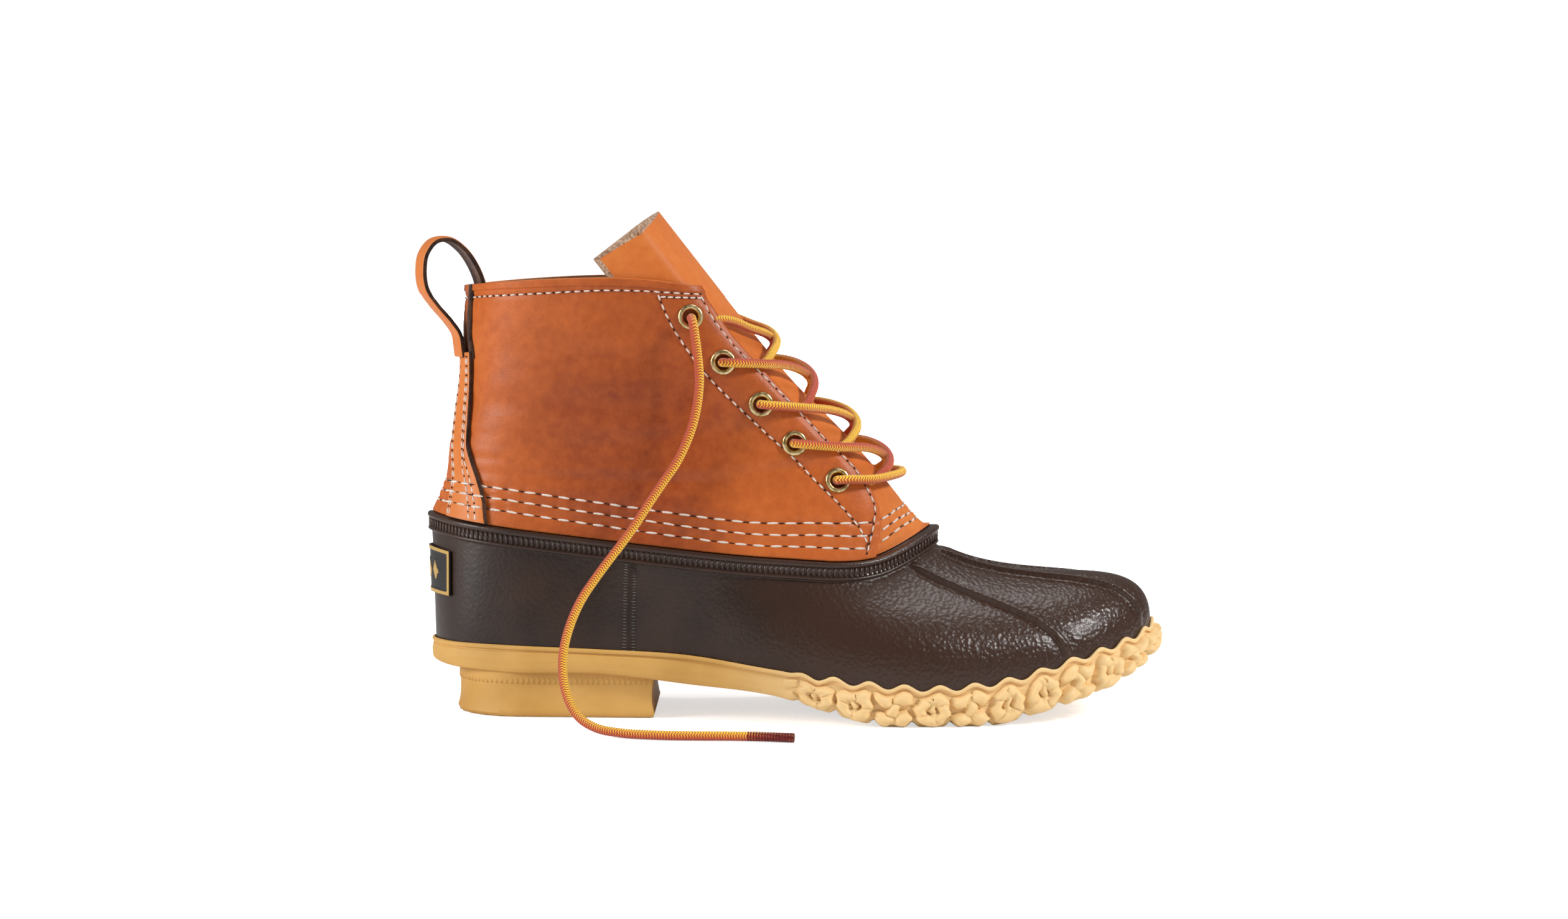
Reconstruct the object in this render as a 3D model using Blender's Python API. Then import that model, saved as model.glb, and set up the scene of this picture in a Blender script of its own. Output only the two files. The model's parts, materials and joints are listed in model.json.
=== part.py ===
# Duck boot, right foot: tan rubber sole, brown rubber lower, leather shaft and laces.
# Metres. +X runs to the toe, +Y to the inner side of the foot, +Z up.
# The origin is the middle of the heel block's underside. Lateral is the outer side, -Y.

import math

import bmesh
import bpy
import numpy as np
from mathutils import Vector

# Main sizes of the boot
boot_length = 0.2946
ball_width = 0.101
shaft_height = 0.174
heel_to_origin = 0.051

# Walls and sheets
leather_wall = 0.0020
rubber_wall = 0.0026
flange_wall = 0.0016
tongue_wall = 0.0017
strip_wall = 0.0018
insole_thickness = 0.0040
hem_step = 0.0007
hem_height = 0.0052

# Clearances between neighbouring pieces
fit_gap = 0.0003
insole_side_gap = 0.0015
lip_gap = 0.0006
strip_gap = 0.0005
label_gap = 0.0004
flange_lift = 0.0004
lace_edge_clear = 0.07
flange_gap = 0.0009
tongue_gap = 0.0010

# Rubber lower
rim_band_height = 0.0078
rim_band_step = 0.0016
flange_height = 0.0165
seat_depth = 0.0040
ridge_height = 0.0011
ridge_width = 0.0026

# Outsole
lip_thickness = 0.0012
rand_overhang = 0.0017
chain_overhang = 0.0026
chain_relief = 0.0021
chain_wave = 0.0018
lobes_per_side = 12.5
samples_per_lobe = 5
heel_length = 0.080
heel_half_width = 0.0330
heel_waist = 0.0010
heel_sink = 0.0030
flat_below = 0.0008
blend_below = 0.0030
groove_width = 0.0040
groove_depth = 0.0030

# Hardware
eyelet_hole_radius = 0.0029
eyelet_tube_wall = 0.0006
eyelet_flange_radius = 0.0050
eyelet_proud = 0.0009
label_width = 0.046
label_height = 0.0185
label_thickness = 0.0012
label_lift = 0.0085

# Laces
lace_diameter = 0.0036
lace_clear = 0.0004
lace_crest = 0.0022
lace_over_lift = 0.0016

# Strips at the back
loop_width = 0.0135
loop_thickness = 0.0021

# Sampling
tube_sides = 8
lace_points = 9
lace_end_count = 36

# Stations of the rubber from the back of the heel to the tip of the toe. Places along are shares
# of boot_length, across of ball_width and up of shaft_height. border is the height where brown
# meets tan, under is the underside of the tan rand. meets is the share of the way along the
# leather's low edge where the station's line ends. belly and rise aim that line as it leaves the
# sole, shoulder and drop aim it as it comes to the rim.
sole_columns = ("along", "lateral", "medial", "border", "under", "meets", "belly", "rise",
                "shoulder", "drop")
sole_stations = {
    "heel_back": (0.010, 0.000, 0.000, 0.163, 0.115, 0.000, 0.008, 0.092, 0.45, -0.069),
    "heel_quarter": (0.042, -0.218, 0.213, 0.164, 0.109, 0.179, 0.008, 0.092, 0.45, -0.069),
    "heel_side": (0.119, -0.322, 0.312, 0.163, 0.103, 0.287, 0.010, 0.086, 0.45, -0.069),
    "waist_rear": (0.238, -0.342, 0.307, 0.157, 0.103, 0.391, 0.012, 0.080, 0.45, -0.063),
    "waist": (0.356, -0.356, 0.302, 0.147, 0.082, 0.492, 0.015, 0.080, 0.40, -0.063),
    "joint": (0.475, -0.441, 0.356, 0.121, 0.063, 0.576, 0.030, 0.103, 0.30, -0.057),
    "ball": (0.584, -0.495, 0.441, 0.097, 0.013, 0.684, 0.040, 0.149, 0.30, -0.063),
    "ball_front": (0.696, -0.485, 0.470, 0.086, 0.000, 0.781, 0.045, 0.161, 0.34, -0.075),
    "toe_side": (0.788, -0.421, 0.450, 0.102, 0.010, 0.841, 0.045, 0.155, 0.38, -0.086),
    "toe_quarter": (0.869, -0.337, 0.391, 0.140, 0.045, 0.883, 0.040, 0.138, 0.42, -0.098),
    "toe_corner": (0.934, -0.208, 0.302, 0.170, 0.083, 0.928, 0.040, 0.184, 0.42, -0.115),
    "toe_front": (0.973, -0.079, 0.183, 0.193, 0.124, 0.967, 0.036, 0.218, 0.42, -0.126),
    "toe_tip": (0.989, 0.054, 0.054, 0.210, 0.152, 1.000, 0.036, 0.241, 0.40, -0.138),
}

# Sections of the leather from its low edge to the collar, the same shares. The columns are back,
# quarter, side, flank, throat and front. back and front hold along and up, the others along,
# across and up. The throat's edge runs through its column.
leather_sections = {
    "low_edge": ((0.003, 0.456), (0.044, 0.198, 0.444), (0.251, 0.356, 0.406),
                 (0.475, 0.388, 0.371), (0.608, 0.307, 0.370), (0.691, 0.434)),
    "stitching": ((0.021, 0.529), (0.054, 0.183, 0.523), (0.251, 0.344, 0.489),
                  (0.468, 0.376, 0.454), (0.614, 0.282, 0.460), (0.665, 0.475)),
    "counter": ((0.027, 0.609), (0.059, 0.171, 0.609), (0.227, 0.333, 0.595),
                (0.428, 0.354, 0.566), (0.589, 0.275, 0.557), (0.628, 0.551)),
    "ankle": ((0.037, 0.687), (0.068, 0.168, 0.690), (0.210, 0.337, 0.690),
              (0.380, 0.342, 0.675), (0.536, 0.294, 0.649), (0.575, 0.651)),
    "shaft": ((0.046, 0.787), (0.075, 0.172, 0.793), (0.204, 0.351, 0.799),
              (0.329, 0.356, 0.790), (0.462, 0.309, 0.782), (0.500, 0.778)),
    "upper_shaft": ((0.045, 0.885), (0.076, 0.178, 0.891), (0.205, 0.366, 0.897),
                    (0.299, 0.364, 0.891), (0.409, 0.317, 0.882), (0.449, 0.882)),
    "collar": ((0.049, 0.977), (0.081, 0.193, 0.983), (0.210, 0.379, 0.997),
               (0.292, 0.371, 0.996), (0.370, 0.317, 0.983), (0.399, 0.988)),
}
throat_station = 4.0
front_station = 5.0
trim_reach = 1.2

# Eyelets from the top: section counted up from the low edge, and how far they sit behind the edge
eyelet_sections = (5.23, 4.26, 3.47, 2.71, 1.86)
eyelet_inset = 0.0104

# Tongue: how far its wings reach back from the throat, in stations, at each level of section
tongue_wings = ((0.0, 0.16), (1.0, 0.20), (2.0, 0.26), (3.0, 0.34), (4.0, 0.50), (5.0, 0.95),
                (6.0, 1.55))
tongue_peak_along = 0.304
tongue_peak_up = 1.141
edge_bevel = 0.0004

# Back strip: section level, centre and half width, both in stations from the back's middle
backstay_rows = ((0.02, 1.02, 0.25), (0.6, 0.96, 0.27), (1.2, 0.88, 0.27), (2.0, 0.74, 0.28),
                 (3.0, 0.55, 0.29), (4.0, 0.42, 0.27), (4.35, 0.40, 0.27))

# Pull loop's middle line beside the back of the shaft: along and up, in shares
loop_line = ((0.0395, 0.838), (0.037, 0.862), (0.025, 0.893), (0.006, 0.930), (-0.008, 0.965),
             (-0.012, 1.010), (-0.008, 1.050), (0.006, 1.078), (0.024, 1.081), (0.043, 1.060),
             (0.060, 1.020), (0.070, 0.975), (0.072, 0.925))
loop_turn = math.radians(19.0)
loop_across = -0.040

# Loose end of the lace, from the top eyelet on the lateral side down to the floor, in metres
lace_end_points = (
    (0.0546, -0.0356, 0.1582), (0.0550, -0.0398, 0.1583), (0.0556, -0.0430, 0.1565),
    (0.0564, -0.0442, 0.1520), (0.0575, -0.0443, 0.1440), (0.0583, -0.0441, 0.1350),
    (0.0576, -0.0440, 0.1257), (0.0560, -0.0440, 0.1177), (0.0532, -0.0440, 0.1097),
    (0.0495, -0.0441, 0.1020), (0.0444, -0.0445, 0.0944), (0.0391, -0.0450, 0.0864),
    (0.0339, -0.0456, 0.0782), (0.0290, -0.0466, 0.0712), (0.0238, -0.0480, 0.0643),
    (0.0186, -0.0500, 0.0572), (0.0133, -0.0530, 0.0491), (0.0093, -0.0566, 0.0400),
    (0.0070, -0.0607, 0.0305), (0.0070, -0.0654, 0.0212), (0.0094, -0.0704, 0.0125),
    (0.0140, -0.0757, 0.0062), (0.0208, -0.0812, 0.0030), (0.0300, -0.0864, 0.0020),
    (0.0420, -0.0905, 0.0019), (0.0520, -0.0918, 0.0019), (0.0620, -0.0918, 0.0019),
    (0.0720, -0.0915, 0.0019), (0.0820, -0.0922, 0.0019), (0.0900, -0.0935, 0.0019),
    (0.0962, -0.0948, 0.0019),
)


def clear_scene():
    for item in list(bpy.data.objects):
        bpy.data.objects.remove(item, do_unlink=True)


def material(name, colour, roughness, metallic=0.0):
    """Principled material with one colour, roughness and metallic value."""
    made = bpy.data.materials.new(name)
    made.use_nodes = True
    shader = made.node_tree.nodes["Principled BSDF"]
    shader.inputs["Base Color"].default_value = (*colour, 1.0)
    shader.inputs["Roughness"].default_value = roughness
    shader.inputs["Metallic"].default_value = metallic
    made.diffuse_color = (*colour, 1.0)
    return made


def place(share_along, share_across, share_up):
    """Turns shares of the main sizes into a point of the frame."""
    return (share_along * boot_length - heel_to_origin, share_across * ball_width,
            share_up * shaft_height)


def hermite(points, knots, where, closed):
    """Smooth curve through points, with where counted in points and knots as its spacing."""
    points = np.asarray(points, float)
    count = len(points)
    where = np.asarray(where, float)
    if closed:
        first = np.floor(where).astype(int)
    else:
        first = np.clip(np.floor(where).astype(int), 0, count - 2)
    part = (where - first)[..., None]

    def point(index):
        if closed:
            return points[index % count]
        return points[np.clip(index, 0, count - 1)]

    def knot(index):
        if closed:
            return knots[index % count] + (index // count) * knots[count]
        return knots[np.clip(index, 0, count - 1)]

    def slope(index):
        before = (knot(index) - knot(index - 1))[..., None]
        after = (knot(index + 1) - knot(index))[..., None]
        before_ok = np.maximum(before, 1e-9)
        after_ok = np.maximum(after, 1e-9)
        rise_before = (point(index) - point(index - 1)) / before_ok
        rise_after = (point(index + 1) - point(index)) / after_ok
        return (after * rise_before + before * rise_after) / (before + after)

    span = (knot(first + 1) - knot(first))[..., None]
    start, end = point(first), point(first + 1)
    leave, arrive = slope(first) * span, slope(first + 1) * span
    square, cube = part ** 2, part ** 3
    return ((2 * cube - 3 * square + 1) * start + (cube - 2 * square + part) * leave
            + (3 * square - 2 * cube) * end + (cube - square) * arrive)


def leather_rings():
    """Each section as a closed ring of stations, back first and then round the lateral side."""
    rings = []
    for section in leather_sections.values():
        back, *sides, front = section
        lateral = [place(along, -across, up) for along, across, up in sides]
        medial = [place(along, across, up) for along, across, up in sides]
        rings.append([place(back[0], 0.0, back[1]), *lateral, place(front[0], 0.0, front[1]),
                      *reversed(medial)])
    return np.array(rings)


leather_points = leather_rings()
ring_steps = np.linalg.norm(np.roll(leather_points, -1, axis=1) - leather_points, axis=2)
ring_knots = np.concatenate([[0.0], np.cumsum(ring_steps.mean(axis=0))])
rise_steps = np.linalg.norm(np.diff(leather_points, axis=0), axis=2).mean(axis=1)
rise_knots = np.concatenate([[0.0], np.cumsum(rise_steps)])
top_section = float(len(leather_points) - 1)


def leather_skin(station, section):
    """Outer skin of the leather. Above the collar it runs on straight."""
    station, section = np.broadcast_arrays(np.asarray(station, float),
                                           np.asarray(section, float))
    rings = [hermite(ring, ring_knots, station, True) for ring in leather_points]
    rings = np.array(rings)
    held = np.minimum(section, top_section)
    weights = hermite(np.eye(len(rings)), rise_knots, held, False)
    out = np.einsum("...k,k...c->...c", weights, rings)
    over = section - held
    if np.any(over > 0):
        under = leather_skin(station, np.full_like(section, top_section - 0.35))
        top = leather_skin(station, np.full_like(section, top_section))
        out = np.where((over > 0)[..., None], top + (top - under) / 0.35 * over[..., None], out)
    return out


def skin_normal(skin, first, second, step_first=0.01, step_second=0.01):
    """Unit normal of a skin, to the outside."""
    across = skin(first + step_first, second) - skin(first - step_first, second)
    up = skin(first, second + step_second) - skin(first, second - step_second)
    normal = np.cross(across, up)
    return normal / np.linalg.norm(normal, axis=-1, keepdims=True)


def leather_normal(station, section):
    section = np.clip(section, 0.02, None)
    return skin_normal(leather_skin, station, section)


def leather_offset(station, section, distance):
    station, section, distance = np.broadcast_arrays(
        np.asarray(station, float), np.asarray(section, float), np.asarray(distance, float))
    return leather_skin(station, section) + distance[..., None] * leather_normal(station, section)


def leather_on_rim(station, section, distance):
    """Offset skin whose low edge is trimmed level, just above the rubber's lip."""
    station, section, distance = np.broadcast_arrays(
        np.asarray(station, float), np.asarray(section, float), np.asarray(distance, float))
    edge = leather_skin(station, 0.0)[..., 2] + fit_gap
    tries = np.linspace(0.0, trim_reach, 25)
    heights = leather_offset(station[..., None], tries, distance[..., None])[..., 2]
    start = np.sum(heights < edge[..., None], axis=-1) * (tries[1] - tries[0])
    moved = start + section * (1.0 - start / trim_reach)
    points = leather_offset(station, np.where(section < trim_reach, moved, section), distance)
    points[..., 2] = np.maximum(points[..., 2], edge)
    return points


def sole_rows():
    """Stations all the way round: lateral side to the tip, then back along the medial side."""
    rows = [dict(zip(sole_columns, row)) for row in sole_stations.values()]
    lateral = [{**row, "across": row["lateral"]} for row in rows]
    medial = [{**row, "across": row["medial"], "meets": 2.0 - row["meets"]} for row in rows]
    around = lateral + medial[-2:0:-1]
    table = []
    for row in around:
        x, y, border = place(row["along"], row["across"], row["border"])
        table.append((x, y, border, row["under"] * shaft_height, row["meets"] * front_station,
                      row["belly"] * ball_width, row["rise"] * shaft_height, row["shoulder"],
                      row["drop"] * shaft_height))
    return np.array(table)


sole_points = sole_rows()
tip_row = float(len(sole_stations) - 1)
whole_loop = 2.0 * tip_row
sole_steps = np.linalg.norm(np.roll(sole_points[:, :2], -1, axis=0) - sole_points[:, :2], axis=1)
sole_knots = np.concatenate([[0.0], np.cumsum(sole_steps)])


def sole_values(row):
    """Every column of the sole's table at any place round it. meets keeps rising."""
    turned = np.mod(np.asarray(row, float), whole_loop)
    values = hermite(sole_points, sole_knots, turned, True)
    meets = np.concatenate([sole_points[:, 4], [2.0 * front_station]])
    values[..., 4] = hermite(meets[:, None], sole_knots, turned, False)[..., 0]
    return values


def outline_normal(row):
    """Level direction that points away from the sole's outline."""
    ahead = sole_values(np.asarray(row, float) + 0.02)[..., :2]
    behind = sole_values(np.asarray(row, float) - 0.02)[..., :2]
    run = ahead - behind
    normal = np.stack([run[..., 1], -run[..., 0], np.zeros_like(run[..., 0])], axis=-1)
    return normal / np.linalg.norm(normal, axis=-1, keepdims=True)


def rim_normal(station):
    """Level direction that points away from the leather's low edge."""
    run = leather_skin(station + 0.02, 0.0) - leather_skin(station - 0.02, 0.0)
    normal = np.stack([run[..., 1], -run[..., 0], np.zeros_like(run[..., 0])], axis=-1)
    return normal / np.linalg.norm(normal, axis=-1, keepdims=True)


up_axis = np.array([0.0, 0.0, 1.0])


def rubber_skin(row, rise):
    """Outer skin of the rubber lower: rise is 0 at the sole and 1 at the rim's low edge."""
    row, rise = np.broadcast_arrays(np.asarray(row, float), np.asarray(rise, float))
    values = sole_values(row)
    base = values[..., :3] - seat_depth * up_axis
    rim = leather_skin(values[..., 4], 0.0) - rim_band_height * up_axis
    out = outline_normal(row)
    low_aim = base + values[..., 5:6] * out + values[..., 6:7] * up_axis
    back_to_base = (base - rim) * np.array([1.0, 1.0, 0.0])
    high_aim = rim + values[..., 7:8] * back_to_base + values[..., 8:9] * up_axis
    part = rise[..., None]
    rest = 1.0 - part
    return (rest ** 3 * base + 3 * rest ** 2 * part * low_aim
            + 3 * rest * part ** 2 * high_aim + part ** 3 * rim)


def rubber_offset(row, rise, distance):
    row, rise, distance = np.broadcast_arrays(
        np.asarray(row, float), np.asarray(rise, float), np.asarray(distance, float))
    held = np.clip(rise, 0.01, 0.99)
    normal = skin_normal(rubber_skin, row, held)
    return rubber_skin(row, rise) + distance[..., None] * normal


def mesh_object(name, vertices, faces, look):
    """Object from a lofted grid of sections, with its normals turned outwards."""
    mesh = bpy.data.meshes.new(name)
    work = bmesh.new()
    made = [work.verts.new(tuple(vertex)) for vertex in vertices]
    for face in faces:
        work.faces.new([made[index] for index in face])
    bmesh.ops.recalc_face_normals(work, faces=work.faces[:])
    work.to_mesh(mesh)
    work.free()
    thing = bpy.data.objects.new(name, mesh)
    bpy.context.scene.collection.objects.link(thing)
    thing.data.materials.append(look)
    return thing


def loft(name, rings, look, closed_along=False, caps=True):
    """Closed solid through rings of equally many points."""
    rings = np.asarray(rings)
    count, size = rings.shape[:2]
    vertices = rings.reshape(-1, 3)
    faces = []
    spans = count if closed_along else count - 1
    for ring in range(spans):
        after = (ring + 1) % count
        for index in range(size):
            beside = (index + 1) % size
            faces.append((ring * size + index, ring * size + beside, after * size + beside,
                          after * size + index))
    if caps and not closed_along:
        faces.append(tuple(range(size)))
        faces.append(tuple((count - 1) * size + index for index in range(size)))
    return mesh_object(name, vertices, faces, look)


def sheet(name, outer, inner, look):
    """Solid between two grids of the same size, closed round its four edges."""
    outer, inner = np.asarray(outer), np.asarray(inner)
    rows, columns = outer.shape[:2]
    vertices = np.concatenate([outer.reshape(-1, 3), inner.reshape(-1, 3)])
    shift = rows * columns

    def at(row, column, side):
        return side * shift + row * columns + column

    faces = []
    for row in range(rows - 1):
        for column in range(columns - 1):
            corners = ((row, column), (row, column + 1), (row + 1, column + 1), (row + 1, column))
            for side in (0, 1):
                faces.append(tuple(at(r, c, side) for r, c in corners))
    border = [(0, c) for c in range(columns)] + [(r, columns - 1) for r in range(1, rows)]
    border += [(rows - 1, c) for c in range(columns - 2, -1, -1)]
    border += [(r, 0) for r in range(rows - 2, 0, -1)]
    for index, here in enumerate(border):
        there = border[(index + 1) % len(border)]
        faces.append((at(*here, 0), at(*there, 0), at(*there, 1), at(*here, 1)))
    return mesh_object(name, vertices, faces, look)


def boolean(target, tool, operation):
    """Applies one exact Boolean and keeps the tool as a hidden cutter."""
    step = target.modifiers.new(operation.lower(), "BOOLEAN")
    step.operation = operation
    step.solver = "EXACT"
    step.object = tool
    hide_cutter(tool)


def hide_cutter(tool):
    store = bpy.data.collections.get("cutters")
    if store is None:
        store = bpy.data.collections.new("cutters")
        bpy.context.scene.collection.children.link(store)
    for home in list(tool.users_collection):
        home.objects.unlink(tool)
    store.objects.link(tool)
    tool.hide_render = True
    tool.display_type = "WIRE"


def box(name, size, centre, tilt=0.0, turn=0.0):
    bpy.ops.mesh.primitive_cube_add(size=1.0)
    made = bpy.context.active_object
    made.name = name
    made.scale = size
    made.location = centre
    made.rotation_euler = (0.0, tilt, turn)
    return made


def tube(name, points, radius, look):
    """Round solid along points, as a bevelled curve."""
    curve = bpy.data.curves.new(name, "CURVE")
    curve.dimensions = "3D"
    line = curve.splines.new("POLY")
    line.points.add(len(points) - 1)
    for spot, point in zip(line.points, points):
        spot.co = (*point, 1.0)
    curve.bevel_depth = radius
    curve.bevel_resolution = (tube_sides - 4) // 2
    curve.use_fill_caps = True
    thing = bpy.data.objects.new(name, curve)
    bpy.context.scene.collection.objects.link(thing)
    curve.materials.append(look)
    return thing


def smooth_line(points, count, closed=False):
    """Evenly counted points of a smooth curve through the given ones."""
    points = np.asarray(points, float)
    steps = np.linalg.norm(np.diff(points, axis=0), axis=1)
    knots = np.concatenate([[0.0], np.cumsum(steps)])
    fine = hermite(points, knots, np.linspace(0, len(points) - 1, 40 * len(points)), closed)
    run = np.concatenate([[0.0], np.cumsum(np.linalg.norm(np.diff(fine, axis=0), axis=1))])
    wanted = np.linspace(0.0, run[-1], count)
    return np.stack([np.interp(wanted, run, fine[:, axis]) for axis in range(3)], axis=1)


def side_rows(lateral):
    """Places round one side from the heel to the tip, close together where the chain runs."""
    fine = np.linspace(0.0, tip_row, 2401)
    table = sole_values(fine if lateral else whole_loop - fine)
    run = np.concatenate([[0.0], np.cumsum(np.linalg.norm(np.diff(table[:, :2], axis=0), axis=1))])
    joint = np.interp(5.1, fine, run)
    rear = np.linspace(0.0, joint, 14)[:-1]
    lobes = int(lobes_per_side * samples_per_lobe)
    chain = np.linspace(joint, run[-1], lobes + 1)
    places = np.interp(np.concatenate([rear, chain]), run, fine)
    phase = np.concatenate([np.full(len(rear), -1.0), np.arange(lobes, -1, -1.0)])
    return places, phase


def flattened(height):
    """Sole's underside with its lowest stretch pressed flat on the floor, where it rests."""
    pressed = (height - flat_below) * blend_below / (blend_below - flat_below)
    return np.where(height < blend_below, np.maximum(pressed, 0.0), height)


def outsole_rings():
    """Rings of the outsole from its floor over the lip to its underside, and the pairs' number."""
    places, phase = side_rows(True)
    medial_places, _ = side_rows(False)
    rows = np.concatenate([places, whole_loop - medial_places[-2:0:-1]])
    steps = np.concatenate([phase, phase[-2:0:-1]])
    on_chain = steps >= 0
    lobe = np.where(on_chain, 0.5 + 0.5 * np.cos(2 * math.pi * steps / samples_per_lobe), 0.0)
    fade = np.clip((lobes_per_side * samples_per_lobe - steps) / samples_per_lobe, 0.0, 1.0)
    fade = np.where(on_chain, fade, 0.0)
    lobe = lobe * fade
    wave = np.where(on_chain, lobe - 0.5 * fade, 0.0)
    values = sole_values(rows)
    base = values[:, :3] * np.array([1.0, 1.0, 0.0])
    border = values[:, 2] + chain_wave * wave
    under = flattened(values[:, 3])
    out = outline_normal(rows)
    overhang = rand_overhang + (chain_overhang - rand_overhang) * fade

    heights = np.linspace(0.0, 0.5, 26)
    lip_inner = np.empty((len(rows), 3))
    for index, row in enumerate(rows):
        line = rubber_offset(np.full(len(heights), row), heights, lip_gap)
        level = line[:, 2]
        lip_inner[index] = [np.interp(border[index], level, line[:, axis]) for axis in range(3)]
        lip_inner[index, 2] = border[index]

    def shelf(distance, height):
        return base + np.asarray(distance)[..., None] * out + np.asarray(height)[..., None] * up_axis

    span = border - under
    floor = values[:, 2] - seat_depth - fit_gap
    rings = [
        shelf(np.full(len(rows), lip_gap), floor),
        lip_inner,
        lip_inner + (lip_thickness * out),
        shelf(overhang + chain_relief * lobe, under + 0.5 * span),
        shelf(0.7 * overhang + 0.4 * chain_relief * lobe, under + 0.0012),
        shelf(np.full(len(rows), -0.0030), under),
    ]
    return np.array(rings), len(places)


def paired_solid(name, rings, pairs, look):
    """Solid whose rings close round the sole, with caps laid across in lateral-medial pairs."""
    layers, count = rings.shape[:2]
    vertices = rings.reshape(-1, 3)
    faces = []
    for layer in range(layers - 1):
        for index in range(count):
            beside = (index + 1) % count
            faces.append((layer * count + index, layer * count + beside,
                          (layer + 1) * count + beside, (layer + 1) * count + index))
    for layer in (0, layers - 1):
        shift = layer * count
        for index in range(pairs - 1):
            opposite = (count - index) % count
            beside = count - index - 1
            corners = [index, index + 1, beside, opposite]
            clean = []
            for corner in corners:
                if corner % count not in clean:
                    clean.append(corner % count)
            faces.append(tuple(shift + corner for corner in clean))
    return mesh_object(name, vertices, faces, look)


def heel_outline(inset, height):
    """Round-backed outline of the heel block, square at its breast."""
    back = 0.012 - heel_to_origin + inset
    breast = back + heel_length - 2 * inset
    half = heel_half_width - inset
    curve_length = 0.028
    points = []
    for step in range(9):
        angle = math.pi / 2 * step / 8
        x = back + curve_length * (1.0 - math.cos(angle) ** 0.9)
        y = half * math.sin(angle) ** 0.85
        points.append((x, y, height))
    points.append((0.5 * (back + curve_length + breast), half, height))
    points.append((breast, half, height))
    mirrored = [(x, -y, z) for x, y, z in reversed(points[1:])]
    return points + mirrored


def under_height(x):
    """Height of the sole's underside at a place along it."""
    along = sole_points[:int(tip_row) + 1, 0]
    return float(flattened(np.interp(x, along, sole_points[:int(tip_row) + 1, 3])))


def half_width_at(x):
    along = sole_points[:int(tip_row) + 1, 0]
    return float(np.interp(x, along, -sole_points[:int(tip_row) + 1, 1]))


def build_outsole(look):
    rings, pairs = outsole_rings()
    sole = paired_solid("outsole", rings, pairs, look)
    floor_low = float(np.interp(0.0, sole_points[:5, 0], sole_points[:5, 2])) - seat_depth
    top = 0.103 * shaft_height + heel_sink
    heights = (0.0, 0.0012, 0.5 * top, 0.85 * top, min(top, floor_low - 0.002))
    insets = (0.0010, 0.0, heel_waist, 0.0004, 0.0004)
    block = loft("heel_block", [heel_outline(inset, height)
                                for inset, height in zip(insets, heights)], look)
    boolean(sole, block, "UNION")
    for number, share in enumerate((0.56, 0.62, 0.68, 0.74, 0.80, 0.86, 0.92)):
        x = share * boot_length - heel_to_origin
        slope = (under_height(x + 0.005) - under_height(x - 0.005)) / 0.010
        width = 2.0 * half_width_at(x) - 0.022
        cut = box("sole_groove_%d" % number,
                  (groove_width, width, 2 * groove_depth), (x, 0.001, under_height(x)),
                  tilt=-math.atan(slope))
        boolean(sole, cut, "DIFFERENCE")
    for number, x in enumerate((-0.027, -0.009, 0.009, 0.027)):
        cut = box("heel_groove_%d" % number, (groove_width, 0.048, 2 * groove_depth),
                  (x, 0.0, 0.0))
        boolean(sole, cut, "DIFFERENCE")
    return sole


ridge_rows = (9.0, 11.0, 13.0)


def rubber_columns():
    """Rows round the rubber, with a set of close columns at each vamp ridge."""
    heel = np.arange(0.0, 2.0, 1.0 / 3.0)
    waist = np.arange(2.0, 6.0, 0.5)
    toe = np.arange(6.0, tip_row, 1.0 / 3.0)
    lateral = np.concatenate([heel, waist, toe])
    plain = np.concatenate([lateral, [tip_row], whole_loop - lateral[:0:-1]])
    columns = []
    for row in plain:
        if min(abs(row - ridge) for ridge in ridge_rows) > 0.01:
            columns.append((row, 0.0, 0.0))
    for ridge in ridge_rows:
        for shift, lift in ((-0.5, 0.0), (0.0, 1.0), (0.5, 0.0)):
            columns.append((ridge, shift * ridge_width, lift))
    return sorted(columns, key=lambda column: (column[0] + column[1] * 10))


def flange_depth(station):
    """How far inside the leather's skin the flange starts: deeper where the tongue lies over it."""
    turned = np.abs(np.mod(np.asarray(station, float) + front_station, 2 * front_station)
                    - front_station)
    mix = np.clip((turned - (throat_station - 0.75)) / 0.5, 0.0, 1.0)
    mix = mix * mix * (3 - 2 * mix)
    plain = leather_wall + flange_gap
    return plain + mix * (tongue_wall + tongue_gap)


def flange_level(station):
    """Section level that is flange_height above the low edge."""
    low = leather_skin(station, 0.0)
    high = leather_skin(station, 1.0)
    return flange_height / np.linalg.norm(high - low, axis=-1)


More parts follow.
